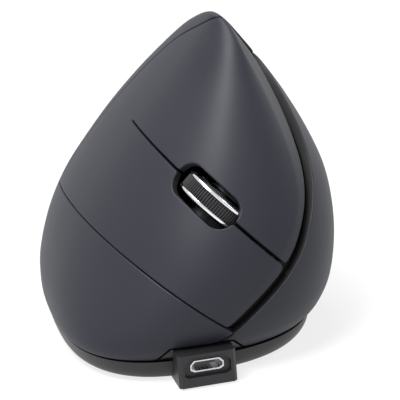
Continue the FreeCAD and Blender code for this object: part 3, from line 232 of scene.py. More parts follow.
def grid_of_form(rows, first, count, steps):
    """A grid over a form: corners, normals and triangles."""
    dense = np.linspace(first, len(rows) - 1, 2000)
    table = between_rows(rows, dense)
    path = table[:, [0, 7, 8]]
    length = np.concatenate([[0], np.cumsum(np.linalg.norm(np.diff(path, axis=0), axis=1))])
    places = np.interp(np.linspace(0, length[-1], count), length, dense)
    rings = np.array([closed_curve(section_points(row), steps) for row in between_rows(rows, places)])
    count, columns = rings.shape[:2]
    around = np.roll(rings, -1, 1) - np.roll(rings, 1, 1)
    along = np.gradient(rings, axis=0)
    normals = np.cross(around, along)
    normals /= np.linalg.norm(normals, axis=2)[:, :, None]
    i = np.arange(count - 1)[:, None] * columns
    j = np.arange(columns)[None, :]
    k = (j + 1) % columns
    a, b, c, d = i + j, i + k, i + columns + k, i + columns + j
    triangles = np.concatenate([np.stack(x, -1).reshape(-1, 3) for x in ((a, b, c), (a, c, d))])
    return rings.reshape(-1, 3), normals.reshape(-1, 3), triangles, columns


def whole_body(rows, steps):
    """The grid of the body with its tip closed."""
    points, normals, triangles, columns = grid_of_form(SECTIONS, FIRST_ROW, rows, steps)
    top = len(points) - columns
    tip = points[top:].mean(0) + (0, 0, TIP_RISE)
    normals[top:] = normals[top:] + (0, 0, 1.0)
    normals /= np.linalg.norm(normals, axis=1)[:, None]
    ring = top + np.arange(columns)
    fan = np.stack([ring, np.roll(ring, -1), np.full(columns, len(points))], -1)
    points = np.vstack([points, tip])
    normals = np.vstack([normals, (0.0, 0.0, 1.0)])
    return points, normals, np.vstack([triangles, fan])


# Seams, as distances in millimetres that are positive on a piece's own side
def smooth_line(points, steps=8):
    rows = np.array(points, float)
    return between_rows(rows, np.linspace(0, len(rows) - 1, steps * (len(rows) - 1) + 1))


def line_distance(flat, line, steps=8):
    """Distance from a line, positive on its left, and the nearest place along it in the line's own points."""
    best = np.full(len(flat), 1e9)
    side = np.ones(len(flat))
    place = np.zeros(len(flat))
    for k in range(len(line) - 1):
        p, d = line[k], line[k + 1] - line[k]
        w = flat - p
        share = np.clip(w @ d / (d @ d), 0, 1)
        gap = ((w - share[:, None] * d) ** 2).sum(1)
        near = gap < best
        best = np.where(near, gap, best)
        side = np.where(near, d[0] * w[:, 1] - d[1] * w[:, 0], side)
        place = np.where(near, (k + share) / steps, place)
    return np.sqrt(best) * np.sign(side), place


GROOVE_LINE = smooth_line(GROOVE)
CREASE_LINE = smooth_line(CREASE)
KEY_REAR_LINE = smooth_line(KEY_REAR_SEAM)
THUMB_REAR_LINE = smooth_line(THUMB_REAR_SEAM)


def rounded_min(first, second, radius):
    """The smaller of two distances, with the corner between them rounded."""
    a, b = np.minimum(first, radius), np.minimum(second, radius)
    rounded = radius - np.hypot(radius - a, radius - b)
    return np.where((first < radius) & (second < radius), rounded, np.minimum(first, second))


def groove_view(p):
    return np.stack([p[:, 0] + GROOVE_TURN * np.maximum(0, p[:, 1] - GROOVE_TURN_Y), p[:, 2]], 1)


def from_groove(p):
    distance, place = line_distance(groove_view(p), GROOVE_LINE)
    return -distance, place


def key_bounds(p):
    """Rear seam, low seam and the ridge behind the tip, together."""
    rear = -line_distance(p[:, 1:], KEY_REAR_LINE)[0]
    low = p @ LOW_TURN[:, 0] - LOW_SEAM_DISTANCE
    tip = np.maximum(APEX_X - p[:, 0], APEX_Y - p[:, 1])
    return rear, low, tip


def rounded_box(u, v, half_u, half_v, corner):
    """Distance from a rounded rectangle, negative inside."""
    a, b = np.abs(u) - half_u + corner, np.abs(v) - half_v + corner
    return np.hypot(np.maximum(a, 0), np.maximum(b, 0)) + np.minimum(np.maximum(a, b), 0) - corner


def from_well(p):
    size = bpy.context.scene.mouse_sizes
    local = (p - WHEEL_CENTRE) @ WELL_TURN
    half_width, half_length = size.well_width / 2 / MM, size.well_length / 2 / MM
    away = rounded_box(local[:, 0], local[:, 1] + WELL_SHIFT, half_width, half_length, WELL_CORNER)
    return np.where(local[:, 2] > 0, away, FAR)


def in_key_frame(p):
    return p @ KEY_TURN


def from_slit(p):
    local = in_key_frame(p)
    forward = SLIT_REAR - local[:, 1]
    half = SLIT_HALF_WIDTH + SLIT_WIDENING * np.maximum(0, forward)
    return np.hypot(local[:, 0] - SLIT_ACROSS, np.maximum(0, -forward)) - half


def key_field(p):
    """Inside of the key moulding: the groove, rear and low seams, slit and wheel well."""
    size = bpy.context.scene.mouse_sizes
    groove, place = from_groove(p)
    groove = groove - size.groove_width / MM * np.interp(place, range(len(GROOVE_TAPER)), GROOVE_TAPER)
    rear, low, tip = key_bounds(p)
    edge = np.minimum(np.minimum(rear, low), tip) - SEAM
    edge = rounded_min(groove, edge, GROOVE_CORNER)
    slot = rounded_min(from_slit(p), from_well(p), SLOT_CORNER)
    return rounded_min(edge, slot, KEY_CORNER)


def chamfer_depth(p):
    """How far the keys' bevelled edge along the groove lies under the form."""
    size = bpy.context.scene.mouse_sizes
    past = line_distance(groove_view(p), CREASE_LINE)[0]
    soft = CREASE_SOFTNESS
    past = np.where(past > soft, past, np.where(past < -soft, 0.0, (past + soft) ** 2 / (4 * soft)))
    return past * math.tan(size.bevel_angle)


def bottom_edge(p):
    """Above the base seam and round the tongue over the port."""
    half = PORT_BLOCK_WIDTH / 2 + TONGUE_SIDE_GAP + SEAM
    top = PORT_BLOCK_TOP + TONGUE_TOP_GAP + SEAM
    slope = np.array((top - BASE_SEAM_Z + TONGUE_ROOT, TONGUE_FOOT))
    slope = slope / np.linalg.norm(slope)
    side = (np.abs(p[:, 0] - PORT_X) - half) * slope[0] + (p[:, 2] - top) * slope[1]
    tongue = np.where(p[:, 1] < TONGUE_BACK, np.maximum(p[:, 2] - top, side), FAR)
    return rounded_min(p[:, 2] - BASE_SEAM_Z - SEAM, tongue, TONGUE_CORNER)


def thumb_inside(p):
    rear = -line_distance(p[:, 1:], THUMB_REAR_LINE)[0]
    return np.minimum(-from_groove(p)[0], rear)


def thumb_plane(p):
    return p @ THUMB_TURN


def trim_distance(p):
    local = thumb_plane(p)
    away = rounded_box(local[:, 0] - THUMB_SURFACE_DOWN, local[:, 1] - TRIM_CENTRE_Y, TRIM_WIDTH / 2,
                       TRIM_LENGTH / 2, TRIM_WIDTH / 2)
    return np.where(local[:, 2] > THUMB_SURFACE_FROM, away, FAR)


def thumb_button_places():
    reach = BUTTON_LENGTH / 2 + BUTTON_GAP
    return {"forward_button": BUTTONS_MIDDLE - reach, "back_button": BUTTONS_MIDDLE + reach,
            "dpi_button": BUTTONS_MIDDLE - 2 * reach - DPI_RADIUS - DPI_GAP}


def button_distance(p, name, centre):
    local = thumb_plane(p)
    down, along = local[:, 0] - THUMB_SURFACE_DOWN, local[:, 1] - centre
    if name == "dpi_button":
        away = np.hypot(down, along) - DPI_RADIUS
    else:
        away = rounded_box(down, along, BUTTON_WIDTH / 2, BUTTON_LENGTH / 2, BUTTON_CORNER)
    return np.where(local[:, 2] > THUMB_SURFACE_FROM, away, FAR)


def main_field(p):
    rear, low, tip = key_bounds(p)
    outside_keys = -np.minimum(np.minimum(rear, low), tip)
    return np.minimum(np.minimum(-thumb_inside(p) - SEAM / 2, outside_keys), bottom_edge(p))


def thumb_field(p):
    return np.minimum(np.minimum(thumb_inside(p) - SEAM / 2, bottom_edge(p)), trim_distance(p) - SEAM)


def trim_field(p):
    field = -trim_distance(p)
    for name, centre in thumb_button_places().items():
        field = np.minimum(field, button_distance(p, name, centre) - SEAM)
    return field


# Shells cut from the form
def split(table, triangles, column, level):
    """Adds corners where the triangles cross a level of one column. Every column is carried along."""
    value = table[:, column] - level
    value[np.abs(value) < SNAP] = 0.0
    sign = np.sign(value).astype(int)
    sides = np.concatenate([triangles[:, [0, 1]], triangles[:, [1, 2]], triangles[:, [2, 0]]])
    crossed = sign[sides[:, 0]] * sign[sides[:, 1]] < 0
    if not crossed.any():
        return table, triangles
    ordered = np.sort(sides[crossed], 1)
    pairs, where = np.unique(ordered, axis=0, return_inverse=True)
    share = value[pairs[:, 0]] / (value[pairs[:, 0]] - value[pairs[:, 1]])
    added = table[pairs[:, 0]] + share[:, None] * (table[pairs[:, 1]] - table[pairs[:, 0]])
    added[:, column] = level
    middle = np.full(len(sides), -1)
    middle[crossed] = len(table) + where.ravel()
    middle = middle.reshape(3, -1).T
    number = (middle >= 0).sum(1)
    out = [triangles[number == 0]]
    for turn in range(3):
        p, q, r = (triangles[:, (turn + k) % 3] for k in range(3))
        pq, qr, rp = (middle[:, (turn + k) % 3] for k in range(3))
        one = (number == 1) & (qr >= 0)
        out += [np.stack(x, 1)[one] for x in ((p, q, qr), (p, qr, r))]
        two = (number == 2) & (qr < 0)
        out += [np.stack(x, 1)[two] for x in ((p, pq, rp), (pq, q, r), (pq, r, rp))]
    return np.vstack([table, added]), np.concatenate(out)


def keep(table, triangles, column, level):
    inside = (table[:, column] >= level - SNAP - 0.001)[triangles].all(1)
    triangles = triangles[inside]
    used, renumbered = np.unique(triangles, return_inverse=True)
    return table[used], renumbered.reshape(-1, 3)


def gradient(field, points):
    step = 0.03
    return np.stack([(field(points + d) - field(points - d)) / (2 * step) for d in np.eye(3) * step], 1)


def unit(vectors):
    return vectors / np.maximum(np.linalg.norm(vectors, axis=1), 1e-9)[:, None]


def skin(points, normals, triangles, field, hard=(), roll=0.35, wall=2.0, lowered=None):
    """A closed moulded shell with rolled edges, cut from a surface where the field is positive."""
    band = 3.0
    near = (field(points) > -band)[triangles].any(1)
    table = np.hstack([points, normals, field(points)[:, None]])
    used, renumbered = np.unique(triangles[near], return_inverse=True)
    table, triangles = table[used], renumbered.reshape(-1, 3)
    for cut in hard:
        table = np.hstack([table, cut(table[:, :3])[:, None]])
        table, triangles = split(table, triangles, table.shape[1] - 1, 0.0)
        table, triangles = keep(table, triangles, table.shape[1] - 1, 0.0)
    table[:, 6] = field(table[:, :3])
    for share in (1.0, 0.617, 0.293, 0.076, 0.0):
        table, triangles = split(table, triangles, 6, share * roll)
    table, triangles = keep(table, triangles, 6, 0.0)
    place, normal, inside = table[:, :3], unit(table[:, 3:6]), np.maximum(table[:, 6], 0)
    outer = place.copy()
    tilted = normal.copy()
    if lowered is not None:
        outer = outer - normal * lowered(place)[:, None]
        fall = gradient(lowered, place)
        fall -= normal * (fall * normal).sum(1)[:, None]
        tilted = unit(normal + fall)
    edge = inside < roll
    lean = 1 - inside[edge] / roll
    away = -gradient(field, place[edge])
    away = unit(away - tilted[edge] * (away * tilted[edge]).sum(1)[:, None])
    drop = roll * (1 - np.sqrt(np.maximum(0, 1 - lean ** 2)))
    outer[edge] -= tilted[edge] * drop[:, None]
    tilted[edge] = unit(tilted[edge] * np.sqrt(np.maximum(0, 1 - lean ** 2))[:, None] + away * lean[:, None])
    inner = place - normal * wall
    if lowered is not None:
        inner -= normal * lowered(place)[:, None]
    return close_shell(outer, tilted, inner, normal, triangles)


def close_shell(outer, outer_normal, inner, inner_normal, triangles):
    """Joins an outer and an inner surface round their edges, and says how many triangles are outside."""
    sides = np.concatenate([triangles[:, [0, 1]], triangles[:, [1, 2]], triangles[:, [2, 0]]])
    code = np.sort(sides, 1) @ np.array((len(outer), 1))
    _, first, number = np.unique(code, return_index=True, return_counts=True)
    rim = sides[first[number == 1]]
    corners, renumbered = np.unique(rim, return_inverse=True)
    rim = renumbered.reshape(-1, 2)
    out = np.cross(outer[corners[rim[:, 1]]] - outer[corners[rim[:, 0]]], inner_normal[corners[rim[:, 0]]])
    facing = np.zeros((len(corners), 3))
    for k in range(2):
        np.add.at(facing, rim[:, k], out)
    facing = unit(facing)
    n, m = len(outer), len(corners)
    points = np.vstack([outer, inner, outer[corners], inner[corners]])
    normals = np.vstack([outer_normal, -inner_normal, facing, facing])
    a, b = rim[:, 0] + 2 * n, rim[:, 1] + 2 * n
    strip = np.vstack([np.stack([b, a, a + m], 1), np.stack([b, a + m, b + m], 1)])
    return points, normals, np.vstack([triangles, triangles[:, ::-1] + n, strip]), len(triangles)


def mesh_piece(name, points, normals, faces, material, origin=ORIGIN, inside=None, outer_count=0):
    """A finished object at the origin, its place in its mesh.

    Faces past the outer ones can have a finish of their own.
    """
    mesh = bpy.data.meshes.new(name)
    corners = ((np.asarray(points) - origin) * MM).tolist()
    mesh.from_pydata(corners, [], [list(map(int, f)) for f in faces])
    mesh.polygons.foreach_set("use_smooth", [True] * len(mesh.polygons))
    if normals is not None:
        mesh.normals_split_custom_set_from_vertices(np.asarray(normals).tolist())
    mesh.materials.append(material)
    if inside:
        mesh.materials.append(inside)
        slots = [int(i >= outer_count) for i in range(len(mesh.polygons))]
        mesh.polygons.foreach_set("material_index", slots)
    piece = bpy.data.objects.new(name, mesh)
    bpy.context.scene.collection.objects.link(piece)
    return piece


def lathe(profile, segments, turn, centre):
    """A closed ring turned from a profile of (radius, along) with a normal for each corner."""
    profile = np.array(profile, float)
    n = len(profile)
    edge = np.roll(profile, -1, 0) - profile
    flat = unit(np.stack([edge[:, 1], -edge[:, 0]], 1))
    normal = unit(flat + np.roll(flat, 1, 0))
    angle = np.arange(segments) * 2 * math.pi / segments
    c, s = np.cos(angle)[:, None], np.sin(angle)[:, None]

    def turned(flat_points):
        around = (flat_points[:, 0] * c, flat_points[:, 0] * s, flat_points[:, 1] * np.ones_like(c))
        return np.stack(around, -1).reshape(-1, 3)

    points, normals = turned(profile), turned(normal)
    i = np.arange(segments)[:, None] * n
    j = ((np.arange(segments) + 1) % segments)[:, None] * n
    k, l = np.arange(n)[None], ((np.arange(n) + 1) % n)[None]
    faces = np.stack([i + k, j + k, j + l, i + l], -1).reshape(-1, 4)
    return points @ turn.T + centre, normals @ turn.T, faces


def rounded_profile(corners, radius, steps=4):
    """A closed profile with its corners rounded. Corners run anticlockwise, as (radius, along)."""
    corners = [np.array(c, float) for c in corners]
    out = []
    for i, corner in enumerate(corners):
        before, after = corners[i - 1], corners[(i + 1) % len(corners)]
        p = corner + (before - corner) / np.linalg.norm(before - corner) * radius
        q = corner + (after - corner) / np.linalg.norm(after - corner) * radius
        for k in range(steps + 1):
            u = k / steps
            out.append((1 - u) ** 2 * p + 2 * u * (1 - u) * corner + u ** 2 * q)
    return out


# Finishes
class Value:
    """A shader value that is written as plain arithmetic."""

    def __init__(self, finish, socket):
        self.finish = finish
        self.socket = socket

    def join(self, operation, first, second):
        return self.finish.node("ShaderNodeMath", {"operation": operation}, {0: first, 1: second})

    def __add__(self, other):
        return self.join("ADD", self, other)

    def __radd__(self, other):
        return self.join("ADD", other, self)

    def __sub__(self, other):
        return self.join("SUBTRACT", self, other)

    def __rsub__(self, other):
        return self.join("SUBTRACT", other, self)

    def __mul__(self, other):
        return self.join("MULTIPLY", self, other)

    def __rmul__(self, other):
        return self.join("MULTIPLY", other, self)

    def __gt__(self, other):
        return self.join("GREATER_THAN", self, other)

    def __lt__(self, other):
        return self.join("LESS_THAN", self, other)


class Finish:
    """One material and the nodes that make it."""

    def __init__(self, name, metallic=0.0, ior=1.5, **plain):
        self.material = bpy.data.materials.new(name)
        self.material.use_nodes = True
        self.tree = self.material.node_tree
        self.shader = self.tree.nodes["Principled BSDF"]
        self.shader.inputs["Metallic"].default_value = metallic
        self.shader.inputs["IOR"].default_value = ior
        for socket, value in plain.items():
            self.shader.inputs[socket.replace("_", " ")].default_value = value
        self.place = self.node("ShaderNodeTexCoord", {}, {}, "Object")

    def node(self, kind, settings, inputs, output=0):
        """Adds any node: its settings first, then the values or links of its sockets."""
        node = self.tree.nodes.new(kind)
        for setting, value in settings.items():
            if setting == "stops":
                ramp = node.color_ramp.elements
                while len(ramp) < len(value):
                    ramp.new(0.5)
                for stop, (position, colour) in zip(ramp, value):
                    stop.position = position
                    stop.color = colour
            else:
                setattr(node, setting, value)
        for socket, value in inputs.items():
            self.plug(node.inputs[socket], value)
        return Value(self, node.outputs[output])

    def plug(self, socket, value):
        if isinstance(value, Value):
            self.tree.links.new(value.socket, socket)
        else:
            socket.default_value = value

    def noise(self, scale, detail=2.0, roughness=0.5):
        """Noise whose grain is about 1 / scale metres."""
        return self.node("ShaderNodeTexNoise", {}, {"Vector": self.place, "Scale": scale, "Detail": detail,
                                                    "Roughness": roughness})

    def cells(self, scale, output="Distance"):
        return self.node("ShaderNodeTexVoronoi", {}, {"Vector": self.place, "Scale": scale}, output)

    def mix(self, share, first, second):
        """A colour between two others."""
        return self.node("ShaderNodeMix", {"data_type": "RGBA"}, {0: share, 6: first, 7: second}, 2)

    def set(self, **links):
        for socket, value in links.items():
            self.plug(self.shader.inputs[socket.replace("_", " ")], value)

    def relief(self, height, distance, strength=1.0, below=None):
        inputs = {"Height": height, "Distance": distance, "Strength": strength}
        if below is not None:
            inputs["Normal"] = below
        bump = self.node("ShaderNodeBump", {}, inputs)
        self.plug(self.shader.inputs["Normal"], bump)
        return bump


def shade(colour, factor):
    return (colour[0] * factor, colour[1] * factor, colour[2] * factor, 1.0)


def soft_touch(colour):
    """Matte rubber-like paint: fine grain, faint clouds where it is handled, and a little dust."""
    f = Finish("soft_touch_charcoal", ior=1.36, Coat_Roughness=0.45)
    clouds = f.noise(38.0, 3.0)
    grain = f.noise(5200.0, 2.0)
    tone = f.mix(clouds, shade(colour, 0.9), shade(colour, 1.1))
    specks = (f.cells(95.0) < 0.021) * (f.noise(31.0, 0.0) > 0.56)
    lint = (f.cells(41.0) < 0.012) * (f.noise(17.0, 0.0) > 0.52)
    f.set(Base_Color=f.mix(specks * 0.45 + lint * 0.6, tone, (0.42, 0.42, 0.43, 1.0)),
          Roughness=0.455 + clouds * 0.09 + grain * 0.05)
    f.relief(grain + f.noise(1500.0, 1.0) * 0.4, 0.000012, 0.6)
    return f.material


def moulded(name, colour, texture=1600.0, depth=0.00003, rough=0.5):
    """Moulded plastic with a fine spark-eroded texture."""
    f = Finish(name)
    grain = f.noise(texture, 3.0, 0.6)
    broad = f.noise(55.0, 2.0)
    f.set(Base_Color=f.mix(broad, shade(colour, 0.88), shade(colour, 1.12)),
          Roughness=rough - 0.06 + grain * 0.12)
    f.relief(grain, depth, 0.7)
    return f.material


def gloss_black(colour):
    """Polished moulding with faint ripples and hairline scratches."""
    f = Finish("gloss_black", Coat_Roughness=0.03)
    ripple = f.noise(210.0, 1.0)
    along = f.node("ShaderNodeMapping", {}, {"Vector": f.place, "Rotation": (0.3, 1.1, 0.2),
                                             "Scale": (1.0, 0.02, 1.0)})
    hair = f.node("ShaderNodeTexNoise", {}, {"Vector": along, "Scale": 9000.0, "Detail": 1.0})
    f.set(Base_Color=f.mix(ripple, shade(colour, 0.9), shade(colour, 1.1)),
          Roughness=0.1 + (hair > 0.68) * 0.12, Coat_Weight=0.3 + ripple * 0.1)
    f.relief(ripple, 0.000015, 0.25)
    return f.material


def wheel_rubber(colour):
    f = Finish("wheel_rubber")
    grain = f.noise(3800.0, 2.0)
    worn = f.noise(420.0, 2.0)
    f.set(Base_Color=f.mix(worn, shade(colour, 0.8), shade(colour, 1.35)), Roughness=0.5 + worn * 0.16)
    f.relief(grain, 0.00002, 0.5)
    return f.material


def bright_metal(name, colour, rough, grain_scale=2600.0, streak=(1.0, 1.0, 1.0)):
    """Plated or drawn metal with fine scratches and slight smears."""
    f = Finish(name, metallic=1.0)
    along = f.node("ShaderNodeMapping", {}, {"Vector": f.place, "Scale": streak})
    grain = f.node("ShaderNodeTexNoise", {}, {"Vector": along, "Scale": grain_scale, "Detail": 2.0})
    smear = f.noise(240.0, 2.0)
    f.set(Base_Color=f.mix(smear, shade(colour, 0.9), shade(colour, 1.05)),
          Roughness=rough + grain * 0.05 + smear * 0.05)
    f.relief(grain, 0.000006, 0.3)
    return f.material


def board_green(colour):
    """Solder mask over copper tracks and pads."""
    f = Finish("solder_mask", Coat_Roughness=0.1)
    brick = f.node("ShaderNodeTexBrick", {}, {"Vector": f.place, "Scale": 620.0, "Mortar Size": 0.06,
                                              "Color1": shade(colour, 1.0), "Color2": shade(colour, 1.25),
                                              "Mortar": shade(colour, 0.62)})
    pads = f.cells(520.0) < 0.17
    f.set(Base_Color=f.mix(pads, brick, (0.62, 0.56, 0.36, 1.0)), Roughness=0.32 - pads * 0.08,
          Metallic=pads * 0.9, Coat_Weight=0.35 - pads * 0.35)
    f.relief(pads, 0.00002, 0.5)
    return f.material


def foil(colour):
    f = Finish("battery_foil", metallic=0.85)
    crumple = f.noise(260.0, 3.0)
    f.set(Base_Color=f.mix(crumple, shade(colour, 0.85), shade(colour, 1.1)), Roughness=0.3 + crumple * 0.15)
    f.relief(crumple, 0.0001, 0.4)
    return f.material


def clear_lens():
    f = Finish("clear_lens", Alpha=0.45)
    wave = f.noise(300.0, 1.0)
    f.set(Base_Color=f.mix(wave, (0.7, 0.75, 0.78, 1.0), (0.85, 0.88, 0.9, 1.0)),
          Roughness=0.04 + wave * 0.05)
    return f.material


FINISHES = {}


def finish(name):
    """The material of a slot of the record, made once."""
    if name in FINISHES:
        return FINISHES[name]
    tint = bpy.context.scene.mouse_colours
    makers = {
        "shell": lambda: soft_touch(tint.shell),
        "base": lambda: moulded("base_black", tint.base, 1900.0, 0.00003, 0.46),
        # Near-black liner for the shells' walls and insides and the groove flange: black plastic made darker
        # than the shell, painted shade that makes the seams and the groove read dark
        "painted_shade_liner": lambda: moulded("liner_black", (0.004, 0.004, 0.005), 900.0, 0.00002, 0.7),
        "trim": lambda: gloss_black(tint.trim),
        "tyre": lambda: wheel_rubber(tint.tyre),
        "rim": lambda: bright_metal("rim_chrome", (0.86, 0.87, 0.9), 0.06),
        "hub": lambda: moulded("hub_black", (0.02, 0.02, 0.022), 1400.0, 0.00002, 0.5),
        "socket": lambda: bright_metal("tinned_steel", (0.62, 0.62, 0.63), 0.22, 3000.0, (1.0, 0.05, 1.0)),
        "board": lambda: board_green((0.012, 0.09, 0.03)),
        "component": lambda: moulded("component_black", (0.018, 0.018, 0.02), 2200.0, 0.00002, 0.42),
        "plunger": lambda: moulded("plunger_white", (0.68, 0.67, 0.62), 1200.0, 0.00001, 0.4),
        "lens": clear_lens,
        "battery": lambda: foil((0.68, 0.69, 0.72)),
        "connector": lambda: moulded("connector_white", (0.72, 0.7, 0.64), 1500.0, 0.00002, 0.45),
        "lead_black": lambda: moulded("lead_black", (0.012, 0.012, 0.012), 900.0, 0.00002, 0.45),
        "lead_red": lambda: moulded("lead_red", (0.36, 0.01, 0.008), 900.0, 0.00002, 0.45),
        "ribbon": lambda: moulded("ribbon_white", (0.62, 0.62, 0.6), 700.0, 0.00002, 0.4),
        "screw": lambda: bright_metal("zinc_screw", (0.5, 0.51, 0.53), 0.26, 1800.0),
        "foot": lambda: moulded("glide_pad", tint.foot, 1100.0, 0.000015, 0.34),
    }
    FINISHES[name] = makers[name]()
    return FINISHES[name]


def place_piece(piece, body, slot, *nodes):
    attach(piece, body)
    if nodes:
        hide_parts(*nodes)
    return piece


def dress(slot):
    """Gives every CAD node of a slot its finish."""
    for part in frame["record"]["subparts"]:
        if part["material_slot"] == slot and part["node"] in NODES:
            mesh = NODES[part["node"]].data
            mesh.materials.clear()
            mesh.materials.append(finish(slot))


# What repeats, as Geometry Nodes
def ring_tree(material):
    """Copies the incoming mesh round the Z axis."""
    tree = bpy.data.node_groups.new("Copies round an axle", "GeometryNodeTree")
    face = tree.interface
    face.new_socket("Geometry", in_out="INPUT", socket_type="NodeSocketGeometry")
    face.new_socket("Count", in_out="INPUT", socket_type="NodeSocketInt")
    face.new_socket("Phase", in_out="INPUT", socket_type="NodeSocketFloat")
    face.new_socket("Geometry", in_out="OUTPUT", socket_type="NodeSocketGeometry")
    add, link = tree.nodes.new, tree.links.new
    start, end = add("NodeGroupInput"), add("NodeGroupOutput")
    points, index, radians = add("GeometryNodePoints"), add("GeometryNodeInputIndex"), add("ShaderNodeMath")
    radians.operation = "DIVIDE"
    radians.inputs[0].default_value = 2 * math.pi
    link(start.outputs["Count"], radians.inputs[1])
    angle = add("ShaderNodeMath")
    angle.operation = "MULTIPLY_ADD"
    link(index.outputs[0], angle.inputs[0])
    link(radians.outputs[0], angle.inputs[1])
    link(start.outputs["Phase"], angle.inputs[2])
    turn, copies = add("ShaderNodeCombineXYZ"), add("GeometryNodeInstanceOnPoints")
    link(angle.outputs[0], turn.inputs["Z"])
    link(start.outputs["Count"], points.inputs["Count"])
    link(points.outputs[0], copies.inputs["Points"])
    link(start.outputs["Geometry"], copies.inputs["Instance"])
    link(turn.outputs[0], copies.inputs["Rotation"])
    real, paint = add("GeometryNodeRealizeInstances"), add("GeometryNodeSetMaterial")
    paint.inputs["Material"].default_value = material
    link(copies.outputs[0], real.inputs[0])
    link(real.outputs[0], paint.inputs["Geometry"])
    link(paint.outputs[0], end.inputs[0])
    return tree


def socket_id(tree, name):
    return next(s.identifier for s in tree.interface.items_tree if s.name == name and s.in_out == "INPUT")


def through_nodes(name, source, tree, values, turn, centre):
    """Runs a source mesh through a tree and keeps the plain result at its place on the object."""
    modifier = source.modifiers.new("Nodes", "NODES")
    modifier.node_group = tree
    for socket, value in values.items():
        modifier[socket_id(tree, socket)] = value
    evaluated = source.evaluated_get(bpy.context.evaluated_depsgraph_get())
    mesh = bpy.data.meshes.new_from_object(evaluated)
    mesh.name = name
    source.modifiers.remove(modifier)
    bpy.data.objects.remove(source)
    matrix = Matrix(turn.tolist()).to_4x4()
    matrix.translation = Vector(((centre - ORIGIN) * MM).tolist())
    mesh.transform(matrix)
    piece = bpy.data.objects.new(name, mesh)
    bpy.context.scene.collection.objects.link(piece)
    return piece


class MouseSizes(bpy.types.PropertyGroup):
    """Sizes of the visible surfaces"""
    groove_width: FloatProperty(name="Groove width", description="Width of the groove beside the keys",
                                default=0.0019, min=0.0005, max=0.004, unit="LENGTH", precision=4)
    bevel_angle: FloatProperty(name="Key bevel", description="Slope of the keys' edge along the groove",
                               default=math.radians(13.0), min=0.0, max=0.6, subtype="ANGLE")
    edge_roll: FloatProperty(name="Edge radius", description="Radius of the shells' edges at their seams",
                             default=0.00032, min=0.0001, max=0.001, unit="LENGTH", precision=5)
    well_length: FloatProperty(name="Well length", description="Length of the opening round the wheel",
                               default=0.0178, min=0.015, max=0.02, unit="LENGTH", precision=4)
    well_width: FloatProperty(name="Well width", description="Width of the opening round the wheel",
                              default=0.0082, min=0.007, max=0.01, unit="LENGTH", precision=4)
    wheel_radius: FloatProperty(name="Wheel radius", description="Radius of the scroll wheel over its rims",
                                default=0.0092, min=0.008, max=0.0098, unit="LENGTH", precision=4)
    wheel_width: FloatProperty(name="Wheel width", description="Width of the scroll wheel with its rims",
                               default=0.005, min=0.004, max=0.006, unit="LENGTH", precision=4)
    tyre_ribs: IntProperty(name="Tyre ribs", description="Number of ribs round the tyre", default=84,
                           min=24, max=140)
    grid_rows: IntProperty(name="Form rows", description="Rows of the grid that the shells are cut from",
                           default=170, min=60, max=260)
    grid_steps: IntProperty(name="Form steps", description="Steps between two drawn points of a section",
                            default=12, min=4, max=20)


class MouseColours(bpy.types.PropertyGroup):
    """Colours of the finishes"""
    shell: FloatVectorProperty(name="Shells", description="Soft-touch charcoal of the shells and keys",
                               default=(0.016, 0.017, 0.0245), subtype="COLOR", min=0.0, max=1.0)
    base: FloatVectorProperty(name="Base", description="Textured black of the base",
                              default=(0.007, 0.007, 0.009), subtype="COLOR", min=0.0, max=1.0)
    trim: FloatVectorProperty(name="Trim", description="Gloss black round the thumb buttons",
                              default=(0.006, 0.006, 0.008), subtype="COLOR", min=0.0, max=1.0)
    tyre: FloatVectorProperty(name="Tyre", description="Rubber of the wheel", default=(0.008, 0.008, 0.009),
                              subtype="COLOR", min=0.0, max=1.0)
    foot: FloatVectorProperty(name="Pads", description="Low-friction pads", default=(0.02, 0.02, 0.022),
                              subtype="COLOR", min=0.0, max=1.0)


BODY_GRID = {}


def body_grid():
    if not BODY_GRID:
        size = bpy.context.scene.mouse_sizes
        BODY_GRID["grid"] = whole_body(size.grid_rows, size.grid_steps)
    return BODY_GRID["grid"]


def shell_piece(name, field, slot, body, nodes, **options):
    points, normals, faces, outer = skin(*body_grid(), field, **options)
    # The walls and insides take the near-black liner: painted shade along every seam
    piece = mesh_piece(name, points, normals, faces, finish(slot), inside=finish("painted_shade_liner"), outer_count=outer)
    if body:
        place_piece(piece, body, slot, *nodes)
    return piece


class MOUSE_OT_shells(bpy.types.Operator):
    """Cut the main shell and the thumb shell from the form"""
    bl_idname = "mouse.shells"
    bl_label = "Shells"

    def execute(self, context):
        roll = context.scene.mouse_sizes.edge_roll / MM
        shell_piece("main_shell_skin", main_field, "shell", "housing", ["main_shell"], roll=roll,
                    wall=SHELL_WALL)
        shell_piece("thumb_shell_skin", thumb_field, "shell", "housing", ["thumb_shell"], roll=roll,
                    wall=SHELL_WALL)
        return {"FINISHED"}


class MOUSE_OT_keys(bpy.types.Operator):
    """Cut the two keys and their plate, which meet at the hinge without a seam"""
    bl_idname = "mouse.keys"
    bl_label = "Keys"

    def execute(self, context):
        roll = context.scene.mouse_sizes.edge_roll / MM

        def behind(p):
            return in_key_frame(p)[:, 1] - HINGE_START

        def before(p):
            return -behind(p)

        def upper(p):
            return in_key_frame(p)[:, 0] - SLIT_ACROSS

        def lower(p):
            return -upper(p)

        options = {"roll": roll, "wall": KEY_WALL, "lowered": chamfer_depth}
        shell_piece("key_plate_skin", key_field, "shell", "housing", ["key_plate"], hard=(behind,), **options)
        for side, half in (("left", upper), ("right", lower)):
            cuts = (before, half)
            piece = shell_piece(side + "_key_skin", key_field, "shell", None, (), hard=cuts, **options)
            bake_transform(piece)
            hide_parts(side + "_button")
        return {"FINISHED"}


